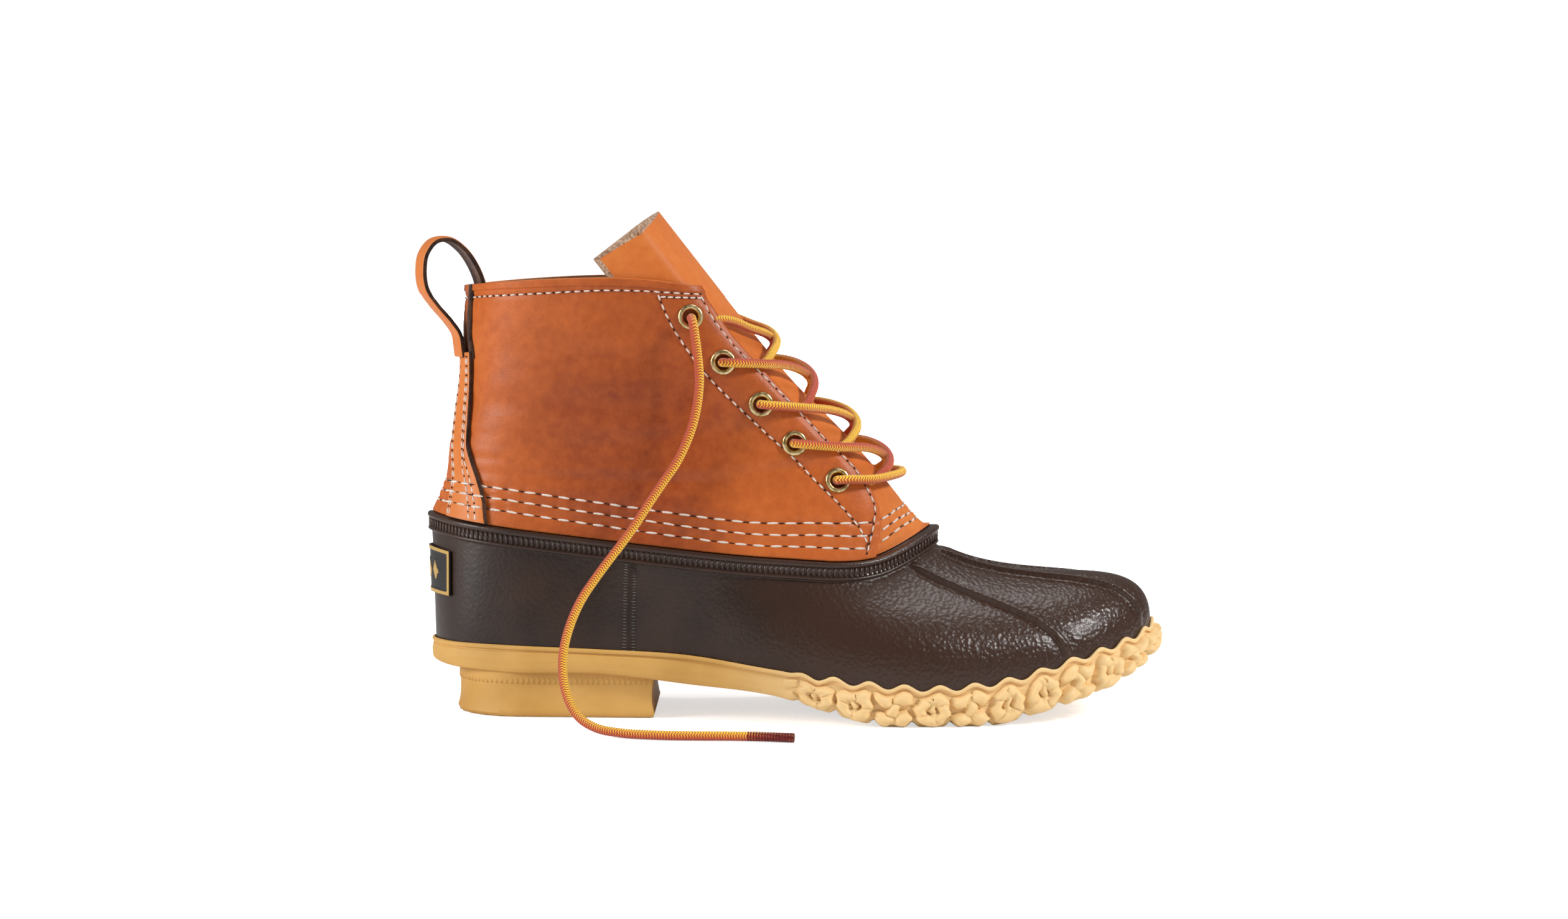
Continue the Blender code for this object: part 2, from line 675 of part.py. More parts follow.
def build_rubber_lower(look):
    rises = np.array([0.0, 0.10, 0.20, 0.33, 0.47, 0.62, 0.76, 0.90, 1.0])
    inner_rises = np.array([0.92, 0.66, 0.40, 0.18, 0.0])
    rings = []
    for row, shift, lift in rubber_columns():
        rows = np.full(len(rises), row)
        if lift or shift:
            step = np.linalg.norm(rubber_skin(rows + 0.02, rises) - rubber_skin(rows - 0.02, rises),
                                  axis=1) / 0.04
            rows = rows + shift / step
        fade = np.clip((1.0 - rises) / 0.10, 0.0, 1.0) * np.clip((rises - 0.13) / 0.08, 0.0, 1.0)
        outer = rubber_offset(rows, rises, ridge_height * lift * fade)
        inner = rubber_offset(np.full(len(inner_rises), row), inner_rises, -rubber_wall)
        station = sole_values(rows[-1:])[0, 4]
        out = rim_normal(np.array(station))
        low = leather_skin(np.array(station), 0.0)
        rim = low - rim_band_height * up_axis
        depth = flange_depth(station)
        band = [
            rim + rim_band_step * out + 0.0007 * up_axis,
            low + rim_band_step * out - 0.0011 * up_axis,
            low + 0.55 * rim_band_step * out - fit_gap * up_axis,
        ]
        top = float(flange_level(np.array(station)))
        levels = top * np.array([0.04, 0.35, 0.7, 1.0])
        flange_out = leather_offset(station, levels, -depth)
        flange_out[0, 2] = low[2] - fit_gap
        flange_in = leather_offset(station, levels[::-2], -depth - flange_wall)
        corner = rim - (depth + flange_wall) * out - 0.6 * rubber_wall * up_axis
        rings.append(np.concatenate([outer, band, flange_out, flange_in, [corner],
                                     inner]))
    return loft("rubber_lower", rings, look, closed_along=True)


def build_insole(look):
    places = np.linspace(0.0, tip_row, 25)
    rows = np.concatenate([places, whole_loop - places[-2:0:-1]])
    values = sole_values(rows)
    out = outline_normal(rows)
    base = values[:, :3] * np.array([1.0, 1.0, 0.0])
    inset = rubber_wall + insole_side_gap
    floor = values[:, 2] - seat_depth
    low = base - inset * out + (floor + 0.0001)[:, None] * up_axis
    high = base - (inset - 0.0002) * out + (floor + insole_thickness)[:, None] * up_axis
    return paired_solid("insole", np.array([low, high]), len(places), look)


def level_rows():
    hem = top_section - hem_height / rise_steps[-1]
    plain = [0.0, 0.4, 0.8, 1.2, 1.7, 2.3, 2.9, 3.6, 4.4, 5.2]
    return np.array(plain + [hem - 0.01, hem + 0.01, top_section - 0.04, top_section]), hem


def build_upper(look):
    levels, hem = level_rows()
    stations = np.linspace(-throat_station, throat_station, 31)
    station_grid, level_grid = np.meshgrid(stations, levels)
    raised = np.where((level_grid > hem) & (level_grid < top_section - 0.01), hem_step,
                      np.where(level_grid > hem, 0.5 * hem_step, 0.0))
    outer = leather_on_rim(station_grid, level_grid, raised)
    inner = leather_on_rim(station_grid, level_grid, -leather_wall)
    shell = sheet("upper", outer, inner, look)
    for side in (-1.0, 1.0):
        for number, level in enumerate(eyelet_sections):
            centre, axis = eyelet_place(side, level)
            bpy.ops.mesh.primitive_cylinder_add(
                vertices=12, radius=eyelet_hole_radius + eyelet_tube_wall + fit_gap,
                depth=6 * leather_wall, location=centre)
            hole = bpy.context.active_object
            hole.name = "eyelet_hole_%d_%d" % (number, int(side))
            hole.rotation_mode = "QUATERNION"
            hole.rotation_quaternion = Vector(axis).to_track_quat("Z", "Y")
            boolean(shell, hole, "DIFFERENCE")
    return shell


def eyelet_place(side, level):
    """Centre on the leather's skin and outward axis. side is -1 on the lateral side."""
    edge = throat_station
    step = 0.02
    travelled = 0.0
    station = edge
    last = leather_skin(np.array(edge), np.array(level))
    lean = leather_skin(np.array(edge), np.array(level + 0.1)) - leather_skin(
        np.array(edge), np.array(level - 0.1))
    lean = lean / np.linalg.norm(lean)
    while travelled < eyelet_inset:
        station -= step
        point = leather_skin(np.array(station), np.array(level))
        away = point - leather_skin(np.array(edge), np.array(level))
        travelled = float(np.linalg.norm(away - lean * float(np.dot(away, lean))))
        last = point
    normal = leather_normal(np.array(station), np.array(level))
    if side > 0:
        last = last * np.array([1.0, -1.0, 1.0])
        normal = normal * np.array([1.0, -1.0, 1.0])
    return last, normal


def build_tongue(look):
    levels = np.array([0.0, 0.4, 0.8, 1.2, 1.7, 2.3, 2.9, 3.5, 4.2, 5.0, 6.0, 6.9])
    wings = np.interp(levels, [row[0] for row in tongue_wings], [row[1] for row in tongue_wings])
    shares = np.linspace(-1.0, 1.0, 17)
    depth = leather_wall + tongue_gap
    peak = np.array([tongue_peak_along * boot_length - heel_to_origin, 0.0,
                     tongue_peak_up * shaft_height])
    front = leather_skin(np.array(front_station), np.array([top_section - 0.35, top_section]))
    lean = (front[1] - front[0]) / np.linalg.norm(front[1] - front[0])
    outer, inner = [], []
    for level, wing in zip(levels, wings):
        reach = front_station - throat_station + wing
        stations = front_station + shares * reach
        if level <= top_section:
            outer.append(leather_on_rim(stations, level, -depth))
            inner.append(leather_on_rim(stations, level, -depth - tongue_wall))
        else:
            part = (level - top_section) / (levels[-1] - top_section)
            for grid, distance, short in ((outer, -depth, 0.0),
                                          (inner, -depth - tongue_wall, edge_bevel)):
                start = leather_offset(stations, top_section - 0.001, distance)
                travel = (peak - start) @ lean - short
                grid.append(start + (part * travel)[:, None] * lean)
    return sheet("tongue", np.array(outer), np.array(inner), look)


def mirrored(point, side):
    """A lateral point, or its medial twin when side is positive."""
    return np.asarray(point) * np.array([1.0, -side, 1.0])


def build_backstay(look):
    levels = np.array([row[0] for row in backstay_rows])
    fine = np.array([0.0, 0.4, 0.8, 1.2, 1.7, 2.3, 2.9, 3.5, 4.0, backstay_rows[-1][0]])
    centre = np.interp(fine, levels, [row[1] for row in backstay_rows])
    half = np.interp(fine, levels, [row[2] for row in backstay_rows])
    shares = np.linspace(-1.0, 1.0, 7)
    stations = centre[:, None] + half[:, None] * shares
    sections = np.broadcast_to(fine[:, None], stations.shape)
    outer = leather_on_rim(stations, sections, strip_gap + strip_wall)
    inner = leather_on_rim(stations, sections, strip_gap)
    return sheet("backstay", outer, inner, look)


def build_pull_loop(look):
    line = np.array([(along * boot_length - heel_to_origin, 0.0, up * shaft_height)
                     for along, up in loop_line])
    line = smooth_line(line, 22)
    run = np.gradient(line, axis=0)
    run /= np.linalg.norm(run, axis=1, keepdims=True)
    side = np.array([math.sin(loop_turn), -math.cos(loop_turn), 0.0])
    rings = []
    for point, ahead in zip(line, run):
        out = np.cross(ahead, side)
        out /= np.linalg.norm(out)
        middle = point + np.array([0.0, loop_across * ball_width, 0.0])
        rings.append([middle + a * loop_width / 2 * side + b * loop_thickness / 2 * out
                      for a, b in ((-1, -1), (1, -1), (1, 1), (-1, 1))])
    return loft("pull_loop", rings, look)


def build_heel_label(look):
    """Plate that follows the back of the rubber."""
    rises = np.linspace(0.0, 1.0, 21)
    heights = rubber_skin(np.zeros(21), rises)[:, 2]
    low_height = 0.5 * (heights[0] + heights[-1]) - 0.5 * label_height + label_lift
    levels = np.interp(low_height + label_height * np.linspace(0.0, 1.0, 3), heights, rises)
    reach = label_width / 2
    fine = np.linspace(0.0, 3.0, 61)
    line = sole_values(fine)[:, :2]
    run = np.concatenate([[0.0], np.cumsum(np.linalg.norm(np.diff(line, axis=0), axis=1))])
    rows = np.interp(reach * np.linspace(0.0, 1.0, 6), run, fine)
    rows = np.concatenate([-rows[:0:-1], rows])
    row_grid, level_grid = np.meshgrid(rows, levels)
    outer = rubber_offset(row_grid, level_grid, label_gap + label_thickness)
    inner = rubber_offset(row_grid, level_grid, label_gap)
    return sheet("heel_label", outer, inner, look)


def build_eyelets(look):
    hole = eyelet_hole_radius
    sleeve = hole + eyelet_tube_wall
    flange = eyelet_flange_radius
    profile = ((hole, -leather_wall + 0.0001), (hole, 0.7 * eyelet_proud),
               (sleeve + 0.0003, flange_lift + eyelet_proud), (flange, flange_lift + 0.0003),
               (sleeve, flange_lift), (sleeve, -leather_wall + 0.0001))
    turns = 9
    for side, word in ((-1.0, "lateral"), (1.0, "medial")):
        for number, level in enumerate(eyelet_sections, start=1):
            centre, axis = eyelet_place(side, level)
            frame = Vector(axis).to_track_quat("Z", "Y").to_matrix()
            rings = []
            for turn in range(turns):
                angle = 2 * math.pi * turn / turns
                ring = [Vector((r * math.cos(angle), r * math.sin(angle), z)) for r, z in profile]
                rings.append([Vector(centre) + frame @ point for point in ring])
            loft("eyelet_%s_%d" % (word, number), rings, look, closed_along=True)


def tongue_point(station, section, height):
    """Point above the tongue's outer skin."""
    return leather_offset(np.array(station), np.array(section),
                          height - leather_wall - tongue_gap)


def strand(start, end, over_start, over_end, lift=0.0):
    """Points of a lace from one side of the throat to the other. start and end are pairs of
    side and section level; over says that the lace goes on over the leather to the eyelet."""
    step_up = leather_wall + tongue_gap
    radius = lace_diameter / 2
    points = []
    for (side, level), over in ((start, over_start), (end, over_end)):
        centre, axis = eyelet_place(side, level)
        edge = leather_skin(np.array(throat_station), np.array(level))
        edge = mirrored(edge, side)
        inward = edge - centre
        inward = inward / np.linalg.norm(inward)
        beside = throat_station + lace_edge_clear
        near = mirrored(tongue_point(beside, level, radius + lace_clear), side)
        if over:
            mouth = centre + axis * (flange_lift + eyelet_proud + radius + 3 * lace_clear)
            brow = edge + axis * (radius + 3 * lace_clear + eyelet_proud)
            points.append([mouth - inward * 0.2 * radius, brow])
        else:
            points.append([near])
    middle = []
    for share in (0.22, 0.4, 0.6, 0.78):
        level = start[1] + (end[1] - start[1]) * share
        turn = (throat_station + lace_edge_clear) + (front_station - throat_station
                                                     - lace_edge_clear) * (1 - abs(2 * share - 1))
        side = start[0] if share < 0.5 else end[0]
        arch = (lace_crest + lift) * math.sin(math.pi * share)
        arch += step_up * (over_start * (1.0 - share) + over_end * share)
        middle.append(mirrored(tongue_point(turn, level, radius + lace_clear + arch), side))
    return points[0] + middle + points[1][::-1]


def build_laces(look):
    levels = eyelet_sections
    bottom = levels[-1]
    bar = strand((-1.0, bottom), (1.0, bottom), True, True)
    tube("lace_bar", smooth_line(bar, lace_points), lace_diameter / 2, look)
    for number in range(1, 5):
        upper_level, lower_level = levels[number - 1], levels[number]
        over = number > 1
        first = strand((1.0, lower_level), (-1.0, upper_level), False, over)
        second = strand((-1.0, lower_level), (1.0, upper_level), False, over, lace_over_lift)
        one = tube("lace_crossing_%d" % number, smooth_line(first, lace_points),
                   lace_diameter / 2, look)
        other = tube("lace_strand_%d" % number, smooth_line(second, lace_points),
                     lace_diameter / 2, look)
        one_mesh = as_mesh(one, look)
        boolean(one_mesh, as_mesh(other, look), "UNION")
    tube("lace_end", smooth_line(lace_end_points, lace_end_count), lace_diameter / 2, look)


def as_mesh(curve_object, look):
    """Turns a bevelled curve into a mesh object of the same name."""
    name = curve_object.name
    graph = bpy.context.evaluated_depsgraph_get()
    mesh = bpy.data.meshes.new_from_object(curve_object.evaluated_get(graph))
    bpy.data.objects.remove(curve_object, do_unlink=True)
    mesh.materials.clear()
    mesh.materials.append(look)
    made = bpy.data.objects.new(name, mesh)
    bpy.context.scene.collection.objects.link(made)
    weld = bmesh.new()
    weld.from_mesh(mesh)
    bmesh.ops.remove_doubles(weld, verts=weld.verts[:], dist=0.00001)
    bmesh.ops.recalc_face_normals(weld, faces=weld.faces[:])
    weld.to_mesh(mesh)
    weld.free()
    return made


def main():
    clear_scene()
    leather = material("leather", (0.56, 0.13, 0.028), 0.55)
    tongue_leather = material("tongue_leather", (0.56, 0.13, 0.028), 0.55)
    brown = material("brown_rubber", (0.048, 0.026, 0.018), 0.45)
    tan = material("tan_rubber", (0.65, 0.39, 0.12), 0.6)
    felt = material("insole_board", (0.30, 0.22, 0.14), 0.9)
    build_outsole(tan)
    build_rubber_lower(brown)
    build_insole(felt)
    build_upper(leather)
    build_tongue(tongue_leather)
    strip_leather = material("strip_leather", (0.56, 0.13, 0.028), 0.55)
    loop_leather = material("loop_leather", (0.56, 0.13, 0.028), 0.6)
    black = material("label_black", (0.02, 0.018, 0.015), 0.5)
    brass = material("antique_brass", (0.45, 0.33, 0.16), 0.38, 0.9)
    braid = material("lace_braid", (0.50, 0.14, 0.03), 0.85)
    build_backstay(strip_leather)
    build_pull_loop(loop_leather)
    build_heel_label(black)
    build_eyelets(brass)
    build_laces(braid)


main()
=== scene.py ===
import json
import math
import bmesh
import bpy
import numpy as np
from mathutils import Matrix, Vector

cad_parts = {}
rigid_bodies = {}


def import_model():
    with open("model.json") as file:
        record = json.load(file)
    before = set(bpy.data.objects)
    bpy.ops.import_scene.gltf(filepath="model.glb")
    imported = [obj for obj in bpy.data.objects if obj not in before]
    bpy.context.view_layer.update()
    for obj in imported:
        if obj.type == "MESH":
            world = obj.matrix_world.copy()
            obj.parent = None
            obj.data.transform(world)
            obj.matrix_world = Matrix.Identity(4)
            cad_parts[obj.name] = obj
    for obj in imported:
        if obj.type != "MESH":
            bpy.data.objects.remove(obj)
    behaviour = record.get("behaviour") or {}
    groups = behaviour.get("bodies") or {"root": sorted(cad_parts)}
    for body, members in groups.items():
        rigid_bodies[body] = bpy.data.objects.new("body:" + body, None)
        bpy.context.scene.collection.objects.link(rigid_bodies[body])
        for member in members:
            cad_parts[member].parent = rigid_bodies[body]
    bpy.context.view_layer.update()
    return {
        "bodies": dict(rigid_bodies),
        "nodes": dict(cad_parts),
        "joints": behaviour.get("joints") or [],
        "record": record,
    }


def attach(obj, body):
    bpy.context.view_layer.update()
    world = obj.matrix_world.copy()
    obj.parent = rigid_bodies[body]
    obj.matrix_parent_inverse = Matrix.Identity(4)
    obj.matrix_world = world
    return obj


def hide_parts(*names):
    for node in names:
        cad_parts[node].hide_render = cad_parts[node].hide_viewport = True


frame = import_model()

# Duck boot, right foot. Metres, +X to the toe, +Y to the inner side, origin under the heel block.
scene = bpy.context.scene

# camera first, then the loose lace
cameraSettings = {"place": (0.0915, -1.400, 0.195), "pitch": 3.85, "roll": 0.5, "lens": 80.0}


def added(name, data):
    thing = bpy.data.objects.new(name, data)
    scene.collection.objects.link(thing)
    return thing


def makeCamera(settings):
    data = bpy.data.cameras.new("photoCamera")
    data.lens = settings["lens"]
    data.sensor_width = 36.0
    eye = added("photoCamera", data)
    turn = Matrix.Rotation(math.radians(90.0 - settings["pitch"]), 4, "X")
    roll = Matrix.Rotation(math.radians(settings["roll"]), 4, "Z")
    eye.matrix_world = Matrix.Translation(settings["place"]) @ turn @ roll
    scene.camera = eye


makeCamera(cameraSettings)
print("camera set")

looseLace = {
    "diameter": 0.0036,
    "count": 1100,
    "tipLength": 0.018,
    "tipSides": 20,
    "tipWrap": 0.0011,
    "route": (
        (0.0546, -0.0356, 0.1582), (0.0550, -0.0398, 0.1583), (0.0556, -0.0430, 0.1565),
        (0.0564, -0.0442, 0.1520), (0.0575, -0.0443, 0.1440), (0.0583, -0.0441, 0.1350),
        (0.0576, -0.0440, 0.1257), (0.0560, -0.0440, 0.1177), (0.0532, -0.0440, 0.1097),
        (0.0495, -0.0441, 0.1020), (0.0444, -0.0445, 0.0944), (0.0391, -0.0450, 0.0864),
        (0.0339, -0.0456, 0.0782), (0.0290, -0.0466, 0.0712), (0.0238, -0.0480, 0.0643),
        (0.0186, -0.0500, 0.0572), (0.0133, -0.0530, 0.0491), (0.0093, -0.0566, 0.0400),
        (0.0070, -0.0607, 0.0305), (0.0070, -0.0654, 0.0212), (0.0094, -0.0704, 0.0125),
        (0.0140, -0.0757, 0.0062), (0.0208, -0.0812, 0.0030), (0.0300, -0.0864, 0.0020),
        (0.0420, -0.0905, 0.0019), (0.0520, -0.0918, 0.0019), (0.0620, -0.0918, 0.0019),
        (0.0720, -0.0915, 0.0019), (0.0820, -0.0922, 0.0019), (0.0900, -0.0935, 0.0019),
        (0.0962, -0.0948, 0.0019),
    ),
}

# sizes of the boot
boot = {
    "length": 0.2946, "ballWidth": 0.101, "shaftHeight": 0.174, "heelToOrigin": 0.051,
    "leatherWall": 0.0020, "rubberWall": 0.0026, "flangeWall": 0.0016, "tongueWall": 0.0017,
    "stripWall": 0.0018, "fitGap": 0.0003, "insoleSideGap": 0.0015, "lipGap": 0.0006,
    "stripGap": 0.0005,
    "labelGap": 0.0004, "flangeLift": 0.0004, "flangeGap": 0.0009, "tongueGap": 0.0010,
    "rimHeight": 0.0078, "flangeHeight": 0.0165, "seatDepth": 0.0040,
}

soleStations = (  # along, lateral, medial, border, under, meets, belly, rise, shoulder, drop
    (0.010, 0.000, 0.000, 0.163, 0.115, 0.000, 0.008, 0.092, 0.45, -0.069),
    (0.042, -0.218, 0.213, 0.164, 0.109, 0.179, 0.008, 0.092, 0.45, -0.069),
    (0.119, -0.322, 0.312, 0.163, 0.103, 0.287, 0.010, 0.086, 0.45, -0.069),
    (0.238, -0.342, 0.307, 0.157, 0.103, 0.391, 0.012, 0.080, 0.45, -0.063),
    (0.356, -0.356, 0.302, 0.147, 0.082, 0.492, 0.015, 0.080, 0.40, -0.063),
    (0.475, -0.441, 0.356, 0.121, 0.063, 0.576, 0.030, 0.103, 0.30, -0.057),
    (0.584, -0.495, 0.441, 0.097, 0.013, 0.684, 0.040, 0.149, 0.30, -0.063),
    (0.696, -0.485, 0.470, 0.086, 0.000, 0.781, 0.045, 0.161, 0.34, -0.075),
    (0.788, -0.421, 0.450, 0.102, 0.010, 0.841, 0.045, 0.155, 0.38, -0.086),
    (0.869, -0.337, 0.391, 0.140, 0.045, 0.883, 0.040, 0.138, 0.42, -0.098),
    (0.934, -0.208, 0.302, 0.170, 0.083, 0.928, 0.040, 0.184, 0.42, -0.115),
    (0.973, -0.079, 0.183, 0.193, 0.124, 0.967, 0.036, 0.218, 0.42, -0.126),
    (0.989, 0.054, 0.054, 0.210, 0.152, 1.000, 0.036, 0.241, 0.40, -0.138),
)

leatherSections = (  # low edge to collar: back, quarter, side, flank, throat, front
    ((0.003, 0.456), (0.044, 0.198, 0.444), (0.251, 0.356, 0.406),
     (0.475, 0.388, 0.371), (0.608, 0.307, 0.370), (0.691, 0.434)),
    ((0.021, 0.529), (0.054, 0.183, 0.523), (0.251, 0.344, 0.489),
     (0.468, 0.376, 0.454), (0.614, 0.282, 0.460), (0.665, 0.475)),
    ((0.027, 0.609), (0.059, 0.171, 0.609), (0.227, 0.333, 0.595),
     (0.428, 0.354, 0.566), (0.589, 0.275, 0.557), (0.628, 0.551)),
    ((0.037, 0.687), (0.068, 0.168, 0.690), (0.210, 0.337, 0.690),
     (0.380, 0.342, 0.675), (0.536, 0.294, 0.649), (0.575, 0.651)),
    ((0.046, 0.787), (0.075, 0.172, 0.793), (0.204, 0.351, 0.799),
     (0.329, 0.356, 0.790), (0.462, 0.309, 0.782), (0.500, 0.778)),
    ((0.045, 0.885), (0.076, 0.178, 0.891), (0.205, 0.366, 0.897),
     (0.299, 0.364, 0.891), (0.409, 0.317, 0.882), (0.449, 0.882)),
    ((0.049, 0.977), (0.081, 0.193, 0.983), (0.210, 0.379, 0.997),
     (0.292, 0.371, 0.996), (0.370, 0.317, 0.983), (0.399, 0.988)),
)
throatStation, frontStation, topSection, trimReach = 4.0, 5.0, 6.0, 1.2
tipRow, wholeLoop = 12.0, 24.0
upAxis = np.array([0.0, 0.0, 1.0])


def place(along, across, up):
    return (along * boot["length"] - boot["heelToOrigin"], across * boot["ballWidth"],
            up * boot["shaftHeight"])


def unit(vectors):
    return vectors / np.linalg.norm(vectors, axis=-1, keepdims=True)


def runAlong(points):
    # distance travelled along a line of points
    return np.concatenate([[0.0], np.cumsum(np.linalg.norm(np.diff(points, axis=0), axis=1))])


def sampled(wanted, run, table):
    # rows of a table at the wanted distances
    return np.stack([np.interp(wanted, run, column) for column in table.T], axis=1)


def asGrids(*values):
    return np.broadcast_arrays(*(np.asarray(value, float) for value in values))


def hermite(points, knots, where, closed):
    # smooth curve through points; where is counted in points
    points, where = np.asarray(points, float), np.asarray(where, float)
    count = len(points)
    first = np.floor(where).astype(int)
    if not closed:
        first = np.clip(first, 0, count - 2)
    part = (where - first)[..., None]

    def point(i):
        return points[i % count] if closed else points[np.clip(i, 0, count - 1)]

    def knot(i):
        if closed:
            return knots[i % count] + (i // count) * knots[count]
        return knots[np.clip(i, 0, count - 1)]

    def slope(i):
        before, after = (knot(i) - knot(i - 1))[..., None], (knot(i + 1) - knot(i))[..., None]
        riseBefore = (point(i) - point(i - 1)) / np.maximum(before, 1e-9)
        riseAfter = (point(i + 1) - point(i)) / np.maximum(after, 1e-9)
        return (after * riseBefore + before * riseAfter) / (before + after)

    span = (knot(first + 1) - knot(first))[..., None]
    start, end = point(first), point(first + 1)
    leave, arrive = slope(first) * span, slope(first + 1) * span
    square, cube = part ** 2, part ** 3
    return ((2 * cube - 3 * square + 1) * start + (cube - 2 * square + part) * leave
            + (3 * square - 2 * cube) * end + (cube - square) * arrive)


def leatherRings():
    rings = []
    for back, *sides, front in leatherSections:
        lateral = [place(a, -c, u) for a, c, u in sides]
        medial = [place(a, c, u) for a, c, u in sides]
        rings.append([place(back[0], 0.0, back[1]), *lateral, place(front[0], 0.0, front[1]),
                      *reversed(medial)])
    return np.array(rings)


leatherPoints = leatherRings()
ringSteps = np.linalg.norm(np.roll(leatherPoints, -1, axis=1) - leatherPoints, axis=2)
ringKnots = np.concatenate([[0.0], np.cumsum(ringSteps.mean(axis=0))])
riseSteps = np.linalg.norm(np.diff(leatherPoints, axis=0), axis=2).mean(axis=1)
riseKnots = np.concatenate([[0.0], np.cumsum(riseSteps)])


def leatherSkin(station, section):
    # outer skin of the leather; above the collar it runs on straight
    station, section = asGrids(station, section)
    rings = np.array([hermite(ring, ringKnots, station, True) for ring in leatherPoints])
    held = np.minimum(section, topSection)
    out = np.einsum("...k,k...c->...c", hermite(np.eye(7), riseKnots, held, False), rings)
    over = section - held
    if np.any(over > 0):
        under = leatherSkin(station, np.full_like(section, topSection - 0.35))
        top = leatherSkin(station, np.full_like(section, topSection))
        out = np.where((over > 0)[..., None], top + (top - under) / 0.35 * over[..., None], out)
    return out


def skinNormal(skin, first, second, step=0.01):
    across = skin(first + step, second) - skin(first - step, second)
    up = skin(first, second + step) - skin(first, second - step)
    return unit(np.cross(across, up))


def leatherNormal(station, section):
    return skinNormal(leatherSkin, station, np.clip(section, 0.02, None))


def leatherOffset(station, section, distance):
    station, section, distance = asGrids(station, section, distance)
    return leatherSkin(station, section) + distance[..., None] * leatherNormal(station, section)


def leatherOnRim(station, section, distance):
    # offset skin whose low edge is trimmed level, just above the rubber's lip
    station, section, distance = asGrids(station, section, distance)
    edge = leatherSkin(station[0], 0.0)[..., 2] + boot["fitGap"]
    tries = np.linspace(0.0, trimReach, 49)
    heights = leatherOffset(station[0][:, None], tries, distance[0][:, None])[..., 2]
    start = np.sum(heights < edge[:, None], axis=-1) * (tries[1] - tries[0])
    moved = start + section * (1.0 - start / trimReach)
    points = leatherOffset(station, np.where(section < trimReach, moved, section), distance)
    points[..., 2] = np.maximum(points[..., 2], edge)
    return points


def soleRows():
    table = []
    lateral = [(row, row[1], row[5]) for row in soleStations]
    medial = [(row, row[2], 2.0 - row[5]) for row in soleStations]
    for row, across, meets in lateral + medial[-2:0:-1]:
        x, y, border = place(row[0], across, row[3])
        table.append((x, y, border, row[4] * boot["shaftHeight"], meets * frontStation,
                      row[6] * boot["ballWidth"], row[7] * boot["shaftHeight"], row[8],
                      row[9] * boot["shaftHeight"]))
    return np.array(table)


solePoints = soleRows()
soleSteps = np.linalg.norm(np.roll(solePoints[:, :2], -1, axis=0) - solePoints[:, :2], axis=1)
soleKnots = np.concatenate([[0.0], np.cumsum(soleSteps)])
meetPoints = np.concatenate([solePoints[:, 4], [2.0 * frontStation]])[:, None]


def soleValues(row):
    turned = np.mod(np.asarray(row, float), wholeLoop)
    values = hermite(solePoints, soleKnots, turned, True)
    values[..., 4] = hermite(meetPoints, soleKnots, turned, False)[..., 0]
    return values


def levelNormal(run):
    return unit(np.stack([run[..., 1], -run[..., 0], np.zeros_like(run[..., 0])], axis=-1))


def outlineNormal(row):
    row = np.asarray(row, float)
    return levelNormal(soleValues(row + 0.02) - soleValues(row - 0.02))


def rimNormal(station):
    return levelNormal(leatherSkin(station + 0.02, 0.0) - leatherSkin(station - 0.02, 0.0))


def rubberSkin(row, rise):
    # outer skin of the rubber: rise is 0 at the sole and 1 at the rim's low edge
    row, rise = asGrids(row, rise)
    values = soleValues(row)
    base = values[..., :3] - boot["seatDepth"] * upAxis
    rim = leatherSkin(values[..., 4], 0.0) - boot["rimHeight"] * upAxis
    lowAim = base + values[..., 5:6] * outlineNormal(row) + values[..., 6:7] * upAxis
    highAim = (rim + values[..., 7:8] * (base - rim) * np.array([1.0, 1.0, 0.0])
               + values[..., 8:9] * upAxis)
    part = rise[..., None]
    rest = 1.0 - part
    return (rest ** 3 * base + 3 * rest ** 2 * part * lowAim
            + 3 * rest * part ** 2 * highAim + part ** 3 * rim)


def rubberOffset(row, rise, distance):
    row, rise, distance = asGrids(row, rise, distance)
    normal = skinNormal(rubberSkin, row, np.clip(rise, 0.01, 0.99))
    return rubberSkin(row, rise) + distance[..., None] * normal


def smoothStep(low, high, value):
    part = np.clip((value - low) / (high - low), 0.0, 1.0)
    return part * part * (3 - 2 * part)


def along(points, count=None, spacing=None):
    # evenly spaced points of a smooth curve through the given ones
    points = np.asarray(points, float)
    steps = np.linspace(0, len(points) - 1, 40 * len(points))
    fine = hermite(points, runAlong(points), steps, False)
    run = runAlong(fine)
    if count is None:
        count = max(2, int(round(run[-1] / spacing)) + 1)
    return sampled(np.linspace(0.0, run[-1], count), run, fine)


# mesh helpers
def makeMesh(name, vertices, faces, materials, faceSlots=None, cornerUv=None, sharp=None):
    mesh = bpy.data.meshes.new(name)
    mesh.from_pydata(np.asarray(vertices, float).tolist(), [], faces)
    if cornerUv is not None:
        mesh.uv_layers.new(name="UVMap").data.foreach_set("uv", np.array(cornerUv).ravel())
    if faceSlots is not None:
        mesh.polygons.foreach_set("material_index", np.asarray(faceSlots, int))
    work = bmesh.new()
    work.from_mesh(mesh)
    bmesh.ops.recalc_face_normals(work, faces=work.faces[:])
    work.to_mesh(mesh)
    work.free()
    mesh.polygons.foreach_set("use_smooth", [True] * len(mesh.polygons))
    if sharp is not None:
        mesh.set_sharp_from_angle(angle=math.radians(sharp))
    for item in materials:
        mesh.materials.append(item)
    return added(name, mesh)


def gridFaces(rows, columns, closeRows=False, closeColumns=False, shift=0):
    i = np.arange(rows if closeRows else rows - 1)[:, None]
    j = np.arange(columns if closeColumns else columns - 1)[None, :]
    nextRow, nextColumn = (i + 1) % rows, (j + 1) % columns
    faces = np.stack([i * columns + j, i * columns + nextColumn, nextRow * columns + nextColumn,
                      nextRow * columns + j], axis=-1)
    return (faces.reshape(-1, 4) + shift).tolist()


